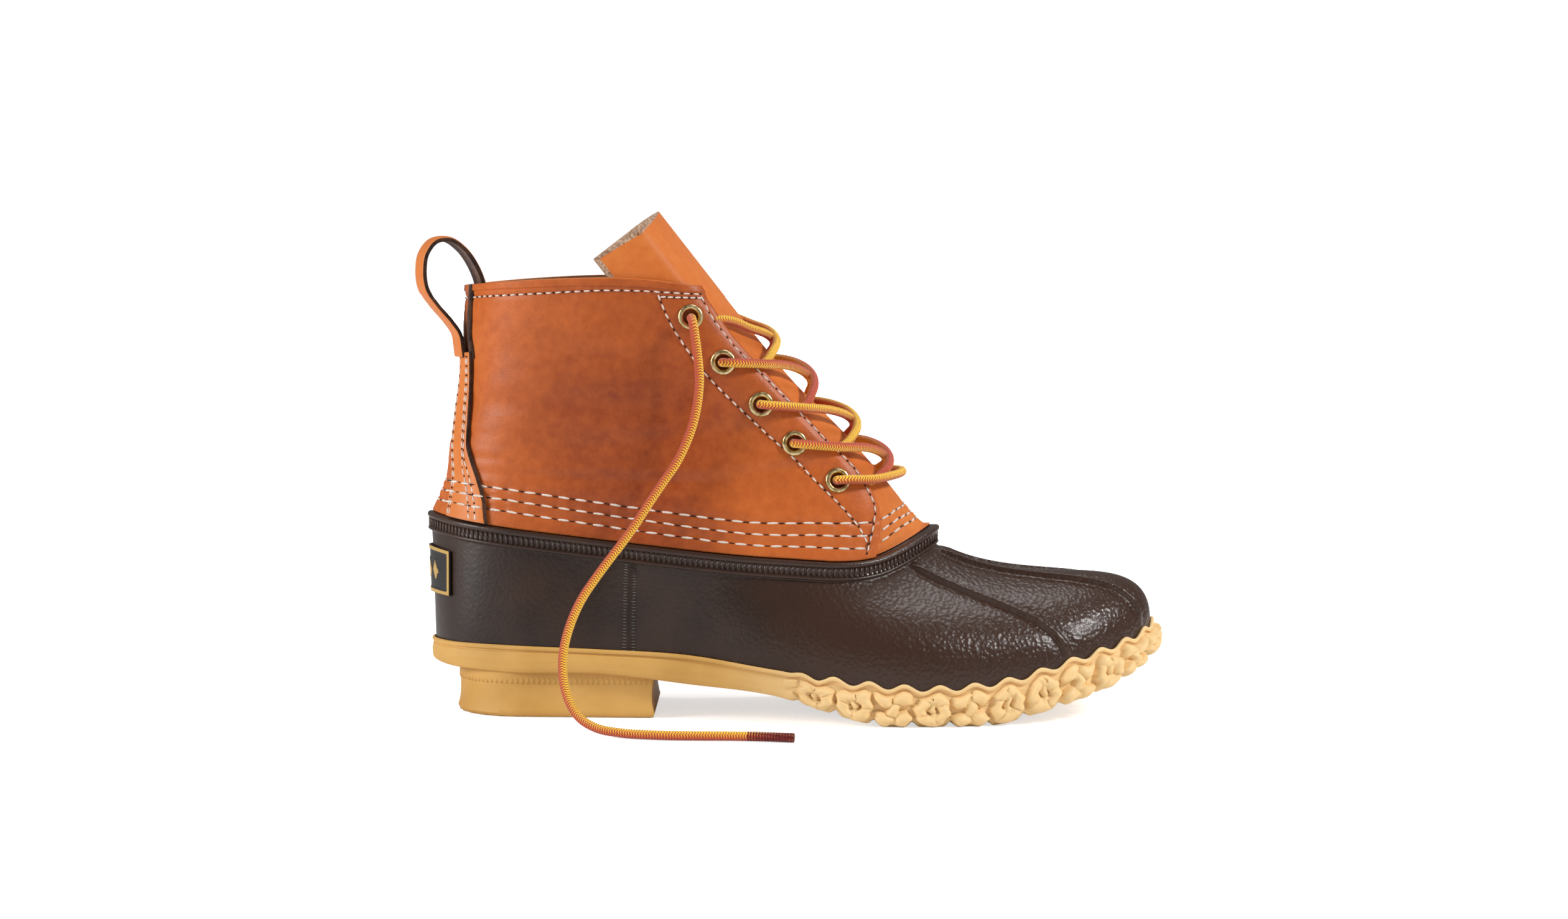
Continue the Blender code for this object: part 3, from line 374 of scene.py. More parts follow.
def capFaces(layers, size):
    # faces from side to side over the first and the last ring
    faces = []
    for layer in (0, layers - 1):
        for index in range(size // 2):
            corners = (index, index + 1, size - index - 1, (size - index) % size)
            faces.append(tuple(layer * size + corner for corner in dict.fromkeys(corners)))
    return faces


def borderOf(rows, columns):
    border = [(0, c) for c in range(columns)] + [(r, columns - 1) for r in range(1, rows)]
    border += [(rows - 1, c) for c in range(columns - 2, -1, -1)]
    return border + [(r, 0) for r in range(rows - 2, 0, -1)]


def sheetSolid(name, outer, inner, materials, edgeRound=0.0, painted=None):
    # slots: painted or 0 outside, 1 inside, 2 on the rounded rim between them
    rows, columns = outer.shape[:2]
    faces = gridFaces(rows, columns) + gridFaces(rows, columns, shift=rows * columns)
    outside = np.zeros((rows - 1, columns - 1), int) if painted is None else painted
    slots = outside.ravel().tolist() + [1] * ((rows - 1) * (columns - 1))
    border = borderOf(rows, columns)
    r, c = np.array(border).T
    outerRim, innerRim = outer[r, c], inner[r, c]
    beside = np.clip(r, 1, rows - 2), np.clip(c, 1, columns - 2)
    push = 0.5 * (outerRim + innerRim) - 0.5 * (outer[beside] + inner[beside])
    push /= np.maximum(np.linalg.norm(push, axis=1, keepdims=True), 1e-9)
    middle = [outerRim * (1 - t) + innerRim * t + edgeRound * math.sin(math.pi * t) * push
              for t in (0.2, 0.5, 0.8)]
    base, count = 2 * rows * columns, len(border)
    edge = r * columns + c
    rings = [edge, *(base + k * count + np.arange(count) for k in range(3)), rows * columns + edge]
    for near, far in zip(rings[:-1], rings[1:]):
        band = np.stack([near, np.roll(near, -1), np.roll(far, -1), far], axis=1)
        faces += band.tolist()
        slots += [2] * count
    vertices = np.concatenate([outer.reshape(-1, 3), inner.reshape(-1, 3), *middle])
    return makeMesh(name, vertices, faces, materials, slots)


def tubeFrames(path, face=(0.0, 0.0, 1.0), start=0.5):
    # twist-free directions along a path; the second ones look towards face where it starts
    run = unit(np.gradient(path, axis=0))
    first = int(start * (len(path) - 1))
    up = np.asarray(face, float) - run[first] * float(np.dot(face, run[first]))
    ups = np.empty_like(run)
    for order in (range(first, len(path)), range(first, -1, -1)):
        now = up
        for n in order:
            now = unit(now - run[n] * float(np.dot(now, run[n])))
            ups[n] = now
    return run, np.cross(ups, run), ups


# materials
def newMaterial(name):
    made = bpy.data.materials.new(name)
    made.use_nodes = True
    return made, made.node_tree, made.node_tree.nodes["Principled BSDF"]


def fill(tree, node, inputs):
    # links or sets the inputs of a node, named or numbered as i_0, i_1
    for key, value in inputs.items():
        socket = node.inputs[key if not key.startswith("i_") else int(key[2:])]
        if isinstance(value, bpy.types.NodeSocket):
            tree.links.new(value, socket)
        else:
            socket.default_value = value


def addNode(tree, kind, settings=None, **inputs):
    made = tree.nodes.new(kind)
    for key, value in (settings or {}).items():
        setattr(made, key, value)
    fill(tree, made, inputs)
    return made


def colour(red, green, blue):
    # screen colour 0..255 to Blender's linear values
    out = []
    for value in (red, green, blue):
        value /= 255.0
        out.append(value / 12.92 if value <= 0.04045 else ((value + 0.055) / 1.055) ** 2.4)
    return (*out, 1.0)


def noise(tree, source, scale, detail=3.0, roughness=0.55):
    return addNode(tree, "ShaderNodeTexNoise", Vector=source, Scale=scale, Detail=detail,
                   Roughness=roughness).outputs["Fac"]


def ramp(tree, source, stops):
    made = addNode(tree, "ShaderNodeValToRGB", Fac=source)
    band = made.color_ramp
    while len(band.elements) < len(stops):
        band.elements.new(0.5)
    for element, (spot, tone) in zip(band.elements, stops):
        element.position = spot
        element.color = tone
    return made.outputs["Color"]


def mixTone(tree, share, first, second, mode="MIX"):
    return addNode(tree, "ShaderNodeMix", {"data_type": "RGBA", "blend_type": mode},
                   i_0=share, i_6=first, i_7=second).outputs[2]


def calc(tree, kind, first, second=0.0, third=0.0, clamp=False):
    return addNode(tree, "ShaderNodeMath", {"operation": kind, "use_clamp": clamp},
                   i_0=first, i_1=second, i_2=third).outputs[0]


def bump(tree, height, distance, strength=1.0, normal=None):
    below = {} if normal is None else {"Normal": normal}
    return addNode(tree, "ShaderNodeBump", Height=height, Distance=distance, Strength=strength,
                   **below).outputs["Normal"]


def objectPlace(tree):
    return tree.nodes.new("ShaderNodeTexCoord").outputs["Object"]


def smoothLeather(name, tones, roughness=0.42, paintedShade=0.0):
    # tones dark, main and light, spread at random; paintedShade sets how much a soft patch in the
    # middle of the shaft is darkened with painted shade
    made, tree, shader = newMaterial(name)
    spot = objectPlace(tree)
    cloud = noise(tree, spot, 22.0, 4.0, 0.5)
    mottle = noise(tree, spot, 240.0, 3.0, 0.6)
    grain = noise(tree, spot, 1500.0, 2.0, 0.6)
    # painted shade: a soft dark patch in the middle of the shaft stands in for its shading and the
    # laces' shadow there
    axes = addNode(tree, "ShaderNodeSeparateXYZ", Vector=spot)
    away = calc(tree, "POWER", calc(tree, "MULTIPLY", calc(
        tree, "SUBTRACT", axes.outputs["X"], 0.032), 21.0), 2.0)
    above = calc(tree, "POWER", calc(tree, "MULTIPLY", calc(
        tree, "SUBTRACT", axes.outputs["Z"], 0.112), 13.0), 2.0)
    shadeSpot = calc(tree, "POWER", 2.718, calc(tree, "MULTIPLY", calc(tree, "ADD", away, above), -1.0))
    mixed = calc(tree, "MULTIPLY_ADD", mottle, 0.25, calc(tree, "MULTIPLY", cloud, 0.35))
    mixed = calc(tree, "SUBTRACT", calc(tree, "ADD", mixed, 0.24),
                 calc(tree, "MULTIPLY", shadeSpot, paintedShade))
    base = ramp(tree, mixed, ((0.16, tones[0]), (0.50, tones[1]), (0.72, tones[2])))
    base = mixTone(tree, calc(tree, "MULTIPLY", grain, 0.14), base, tones[0], "MULTIPLY")
    cells = addNode(tree, "ShaderNodeTexVoronoi", Vector=spot, Scale=1150.0).outputs["Distance"]
    folds = bump(tree, cells, 0.00014, 0.35, bump(tree, mottle, 0.0004, 0.22))
    fill(tree, shader, {
        "Base Color": base, "Normal": bump(tree, grain, 0.00012, 0.35, folds),
        "Roughness": calc(tree, "MULTIPLY_ADD", mottle, 0.18, roughness - 0.1),
        "Specular IOR Level": 0.26, "Coat Weight": 0.03, "Coat Roughness": 0.40})
    return made


def suede(name, dark, light, speckle=0.5):
    made, tree, shader = newMaterial(name)
    spot = objectPlace(tree)
    fibre = noise(tree, spot, 900.0, 5.0, 0.7)
    patch = noise(tree, spot, 120.0, 3.0, 0.6)
    mixed = calc(tree, "MULTIPLY_ADD", patch, 1.0 - speckle,
                 calc(tree, "MULTIPLY", fibre, speckle))
    fill(tree, shader, {
        "Base Color": ramp(tree, mixed, ((0.40, dark), (0.62, light))),
        "Normal": bump(tree, fibre, 0.0005, 0.7), "Roughness": 0.95,
        "Specular IOR Level": 0.15, "Sheen Weight": 0.25})
    return made


def mouldedRubber(name, tones, pebble, pebbleDepth, roughness, coat, shine):
    # three tones: dark, main and the one towards the toe, where the pebbling gets stronger too
    made, tree, shader = newMaterial(name)
    spot = objectPlace(tree)
    cloud = noise(tree, spot, 40.0, 3.0, 0.5)
    fine = noise(tree, spot, 700.0, 2.0, 0.5)
    front = addNode(tree, "ShaderNodeSeparateXYZ", Vector=spot).outputs["X"]
    base = ramp(tree, cloud, ((0.35, tones[0]), (0.65, tones[1])))
    ahead = calc(tree, "MULTIPLY_ADD", front, 25.0, -1.7, clamp=True)
    cells = addNode(tree, "ShaderNodeTexVoronoi", {"feature": "SMOOTH_F1"}, Vector=spot,
                    Scale=pebble, Smoothness=0.6).outputs["Distance"]
    toward = calc(tree, "MULTIPLY_ADD", front, 3.2, 0.35, clamp=True)
    lumps = calc(tree, "MULTIPLY", calc(tree, "MULTIPLY_ADD", noise(tree, spot, 380.0, 2.0), 0.5,
                                        cells), toward)
    rough = calc(tree, "SUBTRACT", calc(tree, "MULTIPLY_ADD", fine, 0.16, roughness - 0.08),
                 calc(tree, "MULTIPLY", toward, 0.15))
    fill(tree, shader, {
        "Base Color": mixTone(tree, ahead, base, tones[2]),
        "Normal": bump(tree, fine, 0.00012, 0.3, bump(tree, lumps, pebbleDepth, 0.7)),
        "Roughness": rough, "Specular IOR Level": shine, "Coat Weight": coat,
        "Coat Roughness": 0.30})
    return made


leatherTones = (colour(122, 46, 20), colour(194, 98, 40), colour(216, 122, 52))
tongueTones = (colour(172, 80, 30), colour(208, 114, 48), colour(222, 134, 64))
# 0.28 is the strength of the painted shade in the middle of the upper's shaft
upperLeather = smoothLeather("upperLeather", leatherTones, 0.42, 0.28)
tongueLeather = smoothLeather("tongueLeather", tongueTones, 0.56)
stripLeather = smoothLeather("stripLeather", (colour(176, 82, 34), colour(210, 118, 50),
                                              colour(222, 134, 70)), 0.46)
innerSuede = suede("innerSuede", colour(122, 84, 58), colour(176, 136, 104))
cutEdge = suede("cutEdge", colour(34, 20, 14), colour(84, 52, 34))
loopSuede = suede("loopSuede", colour(60, 38, 28), colour(120, 84, 62))
tongueEdge = suede("tongueEdge", colour(120, 78, 50), colour(206, 176, 150), 0.7)
brownTones = (colour(33, 19, 12), colour(50, 31, 21), colour(55, 33, 21))
rimTones = (colour(46, 29, 21), colour(62, 41, 31), colour(56, 36, 27))
tanTones = (colour(197, 149, 77), colour(212, 165, 92), colour(236, 200, 142))
brownRubber = mouldedRubber("brownRubber", brownTones, 640.0, 0.00050, 0.46, 0.16, 0.34)
rimRubber = mouldedRubber("rimRubber", rimTones, 900.0, 0.0002, 0.42, 0.12, 0.40)
tanRubber = mouldedRubber("tanRubber", tanTones, 420.0, 0.00014, 0.60, 0.0, 0.30)
insoleFelt = suede("insoleFelt", colour(96, 70, 48), colour(140, 108, 78))


def threadMaterial(name, dark, light):
    made, tree, shader = newMaterial(name)
    spot = objectPlace(tree)
    twist = addNode(tree, "ShaderNodeTexWave", {"bands_direction": "DIAGONAL"}, Vector=spot,
                    Scale=900.0, Distortion=1.0).outputs["Fac"]
    fill(tree, shader, {
        "Base Color": ramp(tree, twist, ((0.2, dark), (0.8, light))),
        "Normal": bump(tree, twist, 0.0001, 0.6), "Roughness": 0.7, "Sheen Weight": 0.2})
    return made


paleThread = threadMaterial("paleThread", colour(196, 176, 160), colour(244, 236, 228))
# dark suede for the dots at the needle holes: painted shade in the holes
holeShade = suede("holeShade", colour(40, 18, 10), colour(66, 30, 16))


def brassMaterial():
    made, tree, shader = newMaterial("antiqueBrass")
    spot = objectPlace(tree)
    worn = noise(tree, spot, 420.0, 4.0, 0.6)
    stops = (0.35, colour(150, 122, 68)), (0.62, colour(230, 210, 160))
    fill(tree, shader, {
        "Base Color": ramp(tree, worn, stops), "Metallic": 1.0,
        "Normal": bump(tree, noise(tree, spot, 1500.0, 2.0), 0.00006, 0.4),
        "Roughness": calc(tree, "MULTIPLY_ADD", worn, 0.2, 0.20)})
    return made


antiqueBrass = brassMaterial()


def braidMaterial(name, yellow, rust, dark):
    # U counts diameters along the lace, V goes once round it
    made, tree, shader = newMaterial(name)
    split = addNode(tree, "ShaderNodeSeparateXYZ",
                    Vector=addNode(tree, "ShaderNodeUVMap", {"uv_map": "UVMap"}).outputs[0])
    u, v = split.outputs["X"], split.outputs["Y"]
    fold = calc(tree, "PINGPONG", calc(tree, "MULTIPLY", v, 6.0), 0.5)
    chevron = calc(tree, "FRACT", calc(tree, "MULTIPLY_ADD", u, 3.4, fold))
    beat = calc(tree, "SUBTRACT", chevron, 0.5)
    valley = calc(tree, "ABSOLUTE", beat)
    drift = calc(tree, "MULTIPLY_ADD", beat, 0.34, v)
    half = calc(tree, "GREATER_THAN", calc(tree, "ABSOLUTE", calc(
        tree, "SUBTRACT", calc(tree, "FRACT", drift), 0.5)), 0.25)
    base = mixTone(tree, half, yellow, rust)
    shade = calc(tree, "POWER", calc(tree, "MULTIPLY", valley, 2.0), 3.0)
    fill(tree, shader, {
        "Base Color": mixTone(tree, calc(tree, "MULTIPLY", shade, 0.55), base, dark),
        "Normal": bump(tree, calc(tree, "SUBTRACT", 1.0, shade), 0.0004, 0.8),
        "Roughness": 0.72, "Sheen Weight": 0.25})
    return made


laceBraid = braidMaterial("laceBraid", colour(255, 196, 44), colour(200, 72, 32),
                          colour(110, 34, 16))
tipMaterial = suede("wrappedTip", colour(84, 22, 20), colour(128, 44, 38))


def labelMaterial(name, tone, roughness):
    made, tree, shader = newMaterial(name)
    spot = objectPlace(tree)
    grain = noise(tree, spot, 1200.0, 3.0)
    fill(tree, shader, {
        "Base Color": mixTone(tree, calc(tree, "MULTIPLY", grain, 0.5), tone, colour(0, 0, 0)),
        "Normal": bump(tree, grain, 0.0001, 0.4), "Roughness": roughness})
    return made


labelBlack = labelMaterial("labelBlack", colour(34, 30, 28), 0.5)
labelGold = labelMaterial("labelGold", colour(214, 172, 92), 0.45)
print("materials made")


# repeats with Geometry Nodes
def repeatTree(name, form):
    # one shape on every point of a mesh; its X runs along "ahead" and its Z along "out"
    tree = bpy.data.node_groups.new(name, "GeometryNodeTree")
    face = tree.interface
    face.new_socket("Geometry", in_out="INPUT", socket_type="NodeSocketGeometry")
    for label, value in (("Length", 0.003), ("Width", 0.0008), ("Height", 0.0008),
                         ("Jitter", 0.0)):
        face.new_socket(label, in_out="INPUT", socket_type="NodeSocketFloat").default_value = value
    seed = face.new_socket("Seed", in_out="INPUT", socket_type="NodeSocketInt")
    seed.default_value = 3
    face.new_socket("Material", in_out="INPUT", socket_type="NodeSocketMaterial")
    face.new_socket("Geometry", in_out="OUTPUT", socket_type="NodeSocketGeometry")
    source = tree.nodes.new("NodeGroupInput")
    target = tree.nodes.new("NodeGroupOutput")
    if form == "ball":
        shape = addNode(tree, "GeometryNodeMeshUVSphere", Segments=8, Rings=5, Radius=0.5)
    else:
        shape = addNode(tree, "GeometryNodeMeshCylinder", Vertices=8, Radius=0.5, Depth=1.0)
    body = shape.outputs["Mesh"]
    if form == "bar":  # laid along X
        body = addNode(tree, "GeometryNodeTransform", Geometry=body,
                       Rotation=(0.0, math.pi / 2, 0.0)).outputs["Geometry"]
    size = addNode(tree, "ShaderNodeCombineXYZ", X=source.outputs["Length"],
                   Y=source.outputs["Width"], Z=source.outputs["Height"]).outputs[0]
    ahead, out = (addNode(tree, "GeometryNodeInputNamedAttribute", {"data_type": "FLOAT_VECTOR"},
                          Name=label).outputs["Attribute"] for label in ("ahead", "out"))
    turn = addNode(tree, "FunctionNodeAxesToRotation",
                   {"primary_axis": "X", "secondary_axis": "Z"}, i_0=ahead, i_1=out)
    jitter = source.outputs["Jitter"]
    wobble = addNode(tree, "FunctionNodeRandomValue", {"data_type": "FLOAT"},
                     Seed=source.outputs["Seed"], i_2=calc(tree, "MULTIPLY", -1.0, jitter),
                     i_3=jitter)
    wobbleTurn = addNode(tree, "ShaderNodeCombineXYZ", Z=wobble.outputs[1]).outputs[0]
    asTurn = addNode(tree, "FunctionNodeEulerToRotation", Euler=wobbleTurn).outputs[0]
    both = addNode(tree, "FunctionNodeRotateRotation", {"rotation_space": "LOCAL"},
                   i_0=turn.outputs[0], i_1=asTurn)
    scatter = addNode(tree, "GeometryNodeInstanceOnPoints", Points=source.outputs["Geometry"],
                      Instance=body, Rotation=both.outputs[0], Scale=size).outputs["Instances"]
    real = addNode(tree, "GeometryNodeRealizeInstances", Geometry=scatter).outputs["Geometry"]
    smooth = addNode(tree, "GeometryNodeSetShadeSmooth", Geometry=real).outputs["Geometry"]
    dressed = addNode(tree, "GeometryNodeSetMaterial", Geometry=smooth,
                      Material=source.outputs["Material"]).outputs["Geometry"]
    tree.links.new(dressed, target.inputs[0])
    return tree


ballTree = repeatTree("ballOnPoints", "ball")
barTree = repeatTree("barOnPoints", "bar")


def repeated(name, tree, points, ahead, out, look, length, width, height, jitter=0.0, seed=3):
    mesh = bpy.data.meshes.new(name + "Points")
    mesh.from_pydata(np.asarray(points).tolist(), [], [])
    for label, values in (("ahead", ahead), ("out", out)):
        layer = mesh.attributes.new(label, "FLOAT_VECTOR", "POINT")
        layer.data.foreach_set("vector", np.asarray(values, float).ravel())
    holder = added(name + "Points", mesh)
    step = holder.modifiers.new("repeat", "NODES")
    step.node_group = tree
    wanted = {"Length": length, "Width": width, "Height": height, "Jitter": jitter,
              "Seed": seed, "Material": look}
    for item in tree.interface.items_tree:
        if item.in_out == "INPUT" and item.name in wanted:
            step[item.identifier] = wanted[item.name]
    graph = bpy.context.evaluated_depsgraph_get()
    result = bpy.data.meshes.new_from_object(holder.evaluated_get(graph))
    result.name = name
    bpy.data.objects.remove(holder, do_unlink=True)
    result.materials.clear()
    result.materials.append(look)
    return added(name, result)


def gathered(sets):
    # one array each of the points, ahead and out of several sets
    return [np.concatenate(part) for part in zip(*sets)]


def joined(name, pieces):
    # one mesh out of several, with their materials kept
    with bpy.context.temp_override(active_object=pieces[0], selected_editable_objects=pieces,
                                   selected_objects=pieces, object=pieces[0]):
        bpy.ops.object.join()
    pieces[0].name = name
    return pieces[0]


def settle(piece, slotName, *nodes):
    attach(piece, "root")
    if nodes:
        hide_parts(*nodes)
    return piece


def surfaceLine(table, spacing, lift, mirror=False):
    # evenly spaced points on the leather along (station, section) pairs, with ahead and out
    table = np.asarray(table, float)
    knots = np.arange(len(table), dtype=float)
    fine = hermite(table, knots, np.linspace(0, len(table) - 1, 60 * len(table)), False)
    spots = leatherOffset(fine[:, 0], fine[:, 1], lift)
    run = runAlong(spots)
    count = max(2, int(round(run[-1] / spacing)))
    wanted = (np.arange(count) + 0.5) * run[-1] / count
    points = sampled(wanted, run, spots)
    ahead = unit(sampled(wanted + 0.0005, run, spots) - sampled(wanted - 0.0005, run, spots))
    out = leatherNormal(*sampled(wanted, run, fine).T)
    if mirror:
        flip = np.array([1.0, -1.0, 1.0])
        points, ahead, out = points * flip, ahead * flip, out * flip
    return points, ahead, out, run[-1] / count


print("tools ready")

# rubber lower
rubber = {"columns": 420, "ridgeRows": (9.0, 11.0, 13.0), "ridgeHeight": 0.0019,
          "ridgeWidth": 0.0030, "ribPitch": 0.0021, "ribWidth": 0.0013, "ribHeight": 0.0040,
          "seamRow": 3.34, "seamRidges": 30, "seamWidth": 0.0052, "seamThick": 0.0009,
          "stepRow": 3.68, "stepHeight": 0.0006, "valleyDepth": 0.0003}


def flangeDepth(station):
    turned = np.abs(np.mod(np.asarray(station, float) + frontStation, 2 * frontStation)
                    - frontStation)
    mix = smoothStep(throatStation - 0.75, throatStation - 0.25, turned)
    return boot["leatherWall"] + boot["flangeGap"] + mix * (boot["tongueWall"] + boot["tongueGap"])


def rubberRows(settings):
    # rows stand closer together over the vamp ridges
    fine = np.linspace(0.0, wholeLoop, settings["columns"] + 1)[:-1]
    extra = []
    for ridge in settings["ridgeRows"]:
        extra.append(ridge + np.linspace(-0.13, 0.13, 37))
        fine = fine[np.abs(fine - ridge) > 0.135]
    return np.sort(np.concatenate([fine, *extra]))


def makeRubberLower(settings):
    rows = rubberRows(settings)
    rises = np.concatenate([[0.0, 0.02, 0.05], np.linspace(0.08, 0.96, 42), [0.985, 1.0]])
    rowGrid, riseGrid = np.meshgrid(rows, rises, indexing="ij")
    lift = np.zeros_like(rowGrid)
    skin = rubberSkin(rowGrid, riseGrid)
    for ridge in settings["ridgeRows"]:
        line = rubberSkin(np.full(len(rises), ridge), rises)
        gap = np.linalg.norm(skin - line[None], axis=-1)
        near = np.exp(-(gap / (0.5 * settings["ridgeWidth"])) ** 4)
        near *= np.abs(rowGrid - ridge) < 0.5
        fade = smoothStep(0.0, 0.06, 1.0 - riseGrid) * smoothStep(0.05, 0.16, riseGrid)
        lift += settings["ridgeHeight"] * near * fade
        # a soft shallow valley beside each ridge, as the moulding has
        lift -= settings["valleyDepth"] * np.exp(-((gap - 0.0032) / 0.0016) ** 2) * fade * (
            np.abs(rowGrid - ridge) < 0.5)
    for step in (settings["stepRow"], wholeLoop - settings["stepRow"]):
        # a low step on the toe's side of the seam, which fades out forwards
        gap = (skin - rubberSkin(np.full(len(rises), step), rises)[None])[..., 0]
        beside = (np.abs(rowGrid - step) < 0.6) * smoothStep(0.05, 0.15, riseGrid)
        lift += settings["stepHeight"] * smoothStep(-0.0004, 0.0004, gap) * np.exp(
            -np.maximum(gap, 0) / 0.006) * beside
    outer = rubberOffset(rowGrid, riseGrid, lift)
    station = soleValues(rows)[:, 4]
    out = rimNormal(station)
    low = leatherSkin(station, 0.0)
    rim = low - boot["rimHeight"] * upAxis
    # lower bead, ribbed band, upper lip: out and up from the rim's low edge, in metres
    profile = ((0.0007, 0.0001), (0.0013, 0.0004), (0.0016, 0.0009), (0.0013, 0.0014),
               (0.0007, 0.0017), (0.0007, 0.0032), (0.0007, 0.0048), (0.0009, 0.0051),
               (0.0015, 0.0054), (0.0018, 0.0061), (0.0017, 0.0069), (0.0012, 0.0074),
               (0.0006, 0.0075))
    band = np.stack([rim + a * out + b * upAxis for a, b in profile], axis=1)
    depth = flangeDepth(station)
    high = leatherSkin(station, 1.0)
    top = boot["flangeHeight"] / np.linalg.norm(high - low, axis=-1)
    levels = top[:, None] * np.array([0.04, 0.35, 0.7, 1.0])
    flangeOut = leatherOffset(station[:, None], levels, -depth[:, None])
    flangeOut[:, 0, 2] = low[:, 2] - boot["fitGap"]
    innerDepth = (depth + boot["flangeWall"])[:, None]
    flangeIn = leatherOffset(station[:, None], levels[:, ::-2], -innerDepth)
    corner = rim - innerDepth * out - 0.6 * boot["rubberWall"] * upAxis
    inner = rubberOffset(rows[:, None], np.array([0.92, 0.66, 0.40, 0.18, 0.0])[None],
                         -boot["rubberWall"])
    rings = np.concatenate([outer, band, flangeOut, flangeIn, corner[:, None], inner], axis=1)
    count, size = rings.shape[:2]
    faces = gridFaces(count, size, True, True)
    slots = np.zeros(len(faces), int).reshape(count, size)
    slots[:, outer.shape[1]:outer.shape[1] + band.shape[1]] = 1
    return makeMesh("rubberLower", rings.reshape(-1, 3), faces, [brownRubber, rimRubber],
                    slots.ravel())


rubberLower = makeRubberLower(rubber)


def makeRimRibs(settings):
    stations = np.linspace(0.0, 10.0, 2001)
    run = runAlong(leatherSkin(stations, 0.0))
    count = int(round(run[-1] / settings["ribPitch"]))
    spots = np.interp((np.arange(count) + 0.5) * run[-1] / count, run, stations)
    out = rimNormal(spots)
    middle = leatherSkin(spots, 0.0) - (boot["rimHeight"] - 0.0033) * upAxis + 0.0007 * out
    ahead = np.broadcast_to(upAxis, out.shape)
    return repeated("rimRibs", barTree, middle, ahead, out, rimRubber, settings["ribHeight"],
                    settings["ribWidth"], 0.0012)


def makeSeamRidges(settings):
    # short level ridges one over another, where the mould closes, on both sides
    rises = np.linspace(0.10, 0.97, settings["seamRidges"])
    sets = []
    for row in (settings["seamRow"], wholeLoop - settings["seamRow"]):
        ahead = unit(rubberSkin(row + 0.02, rises) - rubberSkin(row - 0.02, rises))
        sets.append((rubberOffset(row, rises, -0.00015), ahead,
                     skinNormal(rubberSkin, row, rises)))
    return repeated("seamRidges", barTree, *gathered(sets), brownRubber,
                    settings["seamWidth"], settings["seamThick"], 0.0008, 0.05)


rubberLower = joined("rubberLower", [rubberLower, makeRimRibs(rubber), makeSeamRidges(rubber)])
settle(rubberLower, "brown_rubber", "rubber_lower")
print("rubber lower done")

# outsole
sole = {"lipThickness": 0.0012, "overhang": 0.0017, "chainOverhang": 0.0026, "relief": 0.0038,
        "sink": 0.0012, "wave": 0.0026, "notch": 0.0026, "wallRings": 44,
        "chainRow": 5.1, "lobes": 12.5, "samplesPerLobe": 22, "linkPitch": 0.0150,
        "medialShift": 0.0035, "linkWidth": 0.0074,
        "heelBack": 0.012, "heelLength": 0.080, "heelHalfWidth": 0.0330, "heelReach": 0.028,
        "heelSink": 0.0030, "treadDepth": 0.0026, "lugPitch": 0.0088,
        "flatBelow": 0.0008, "blendBelow": 0.0030}


def flattened(height):
    # the lowest stretch of the underside is pressed flat on the floor
    flat, blend = sole["flatBelow"], sole["blendBelow"]
    pressed = (height - flat) * blend / (blend - flat)
    return np.where(height < blend, np.maximum(pressed, 0.0), height)


def soleSide(lateral, settings):
    # rows from the heel to the toe, their lobe count and their travel back from the toe
    fine = np.linspace(0.0, tipRow, 2401)
    run = runAlong(soleValues(fine if lateral else wholeLoop - fine)[:, :2])
    joint = np.interp(settings["chainRow"], fine, run)
    rear = np.linspace(0.0, joint, 90)[:-1]
    lobes = int(settings["lobes"] * settings["samplesPerLobe"])
    chain = np.linspace(joint, run[-1], lobes + 1)
    places = np.interp(np.concatenate([rear, chain]), run, fine)
    phase = np.concatenate([np.full(len(rear), -1.0), np.arange(lobes, -1, -1.0)])
    travel = np.concatenate([np.full(len(rear), -1.0), run[-1] - chain])
    return places, phase, travel


def linkRelief(travel, share, height, settings):
    # raised chain round the toe, like modelled clay: thick rings with a bar, and crossed links
    pitch = settings["linkPitch"]
    number = np.floor(travel / pitch)
    s = (travel / pitch - number - 0.5) * pitch
    v = (share - 0.49) * height
    tall = 0.50 * height
    kind = np.mod(number, 5)
    s = s + 0.0005 * np.sin(number * 2.3 + 9.0 * v / np.maximum(tall, 1e-6))

    def dome(distance):
        return np.sqrt(np.clip(1.0 - distance ** 2, 0.0, 1.0))

    def lump(across, up, wide, high):
        return dome(np.hypot((s - across) / wide, (v - up * tall) / (high * tall)))

    wide = settings["linkWidth"]
    angle = np.arctan2(v / tall, s / wide)
    ring = dome((np.hypot(s / wide, v / tall) - 0.62) / 0.37)
    ring = ring * (1.0 - 0.22 * np.exp(-(np.sin(2 * angle + number) / 0.22) ** 2))
    bar = np.maximum(0.85 * lump(0.0, 0.12, 0.0017, 0.42), 0.72 * lump(0.0, -0.30, 0.0026, 0.20))
    rings = np.maximum(ring, bar)
    rings = rings * (1.0 - 0.45 * np.exp(-(s / 0.0004) ** 2)
                     * smoothStep(0.45 * tall, 0.7 * tall, v))
    cross = np.maximum(0.95 * lump(0.0, 0.02, 0.0027, 0.50), 0.55 * lump(0.0, -0.62, 0.0022, 0.26))
    for across in (-0.0038, 0.0038):
        cross = np.maximum(cross, np.maximum(lump(across, 0.56, 0.0040, 0.44),
                                             lump(across, -0.54, 0.0041, 0.46)))
    return np.where((kind == 1) | (kind == 3), cross, rings)


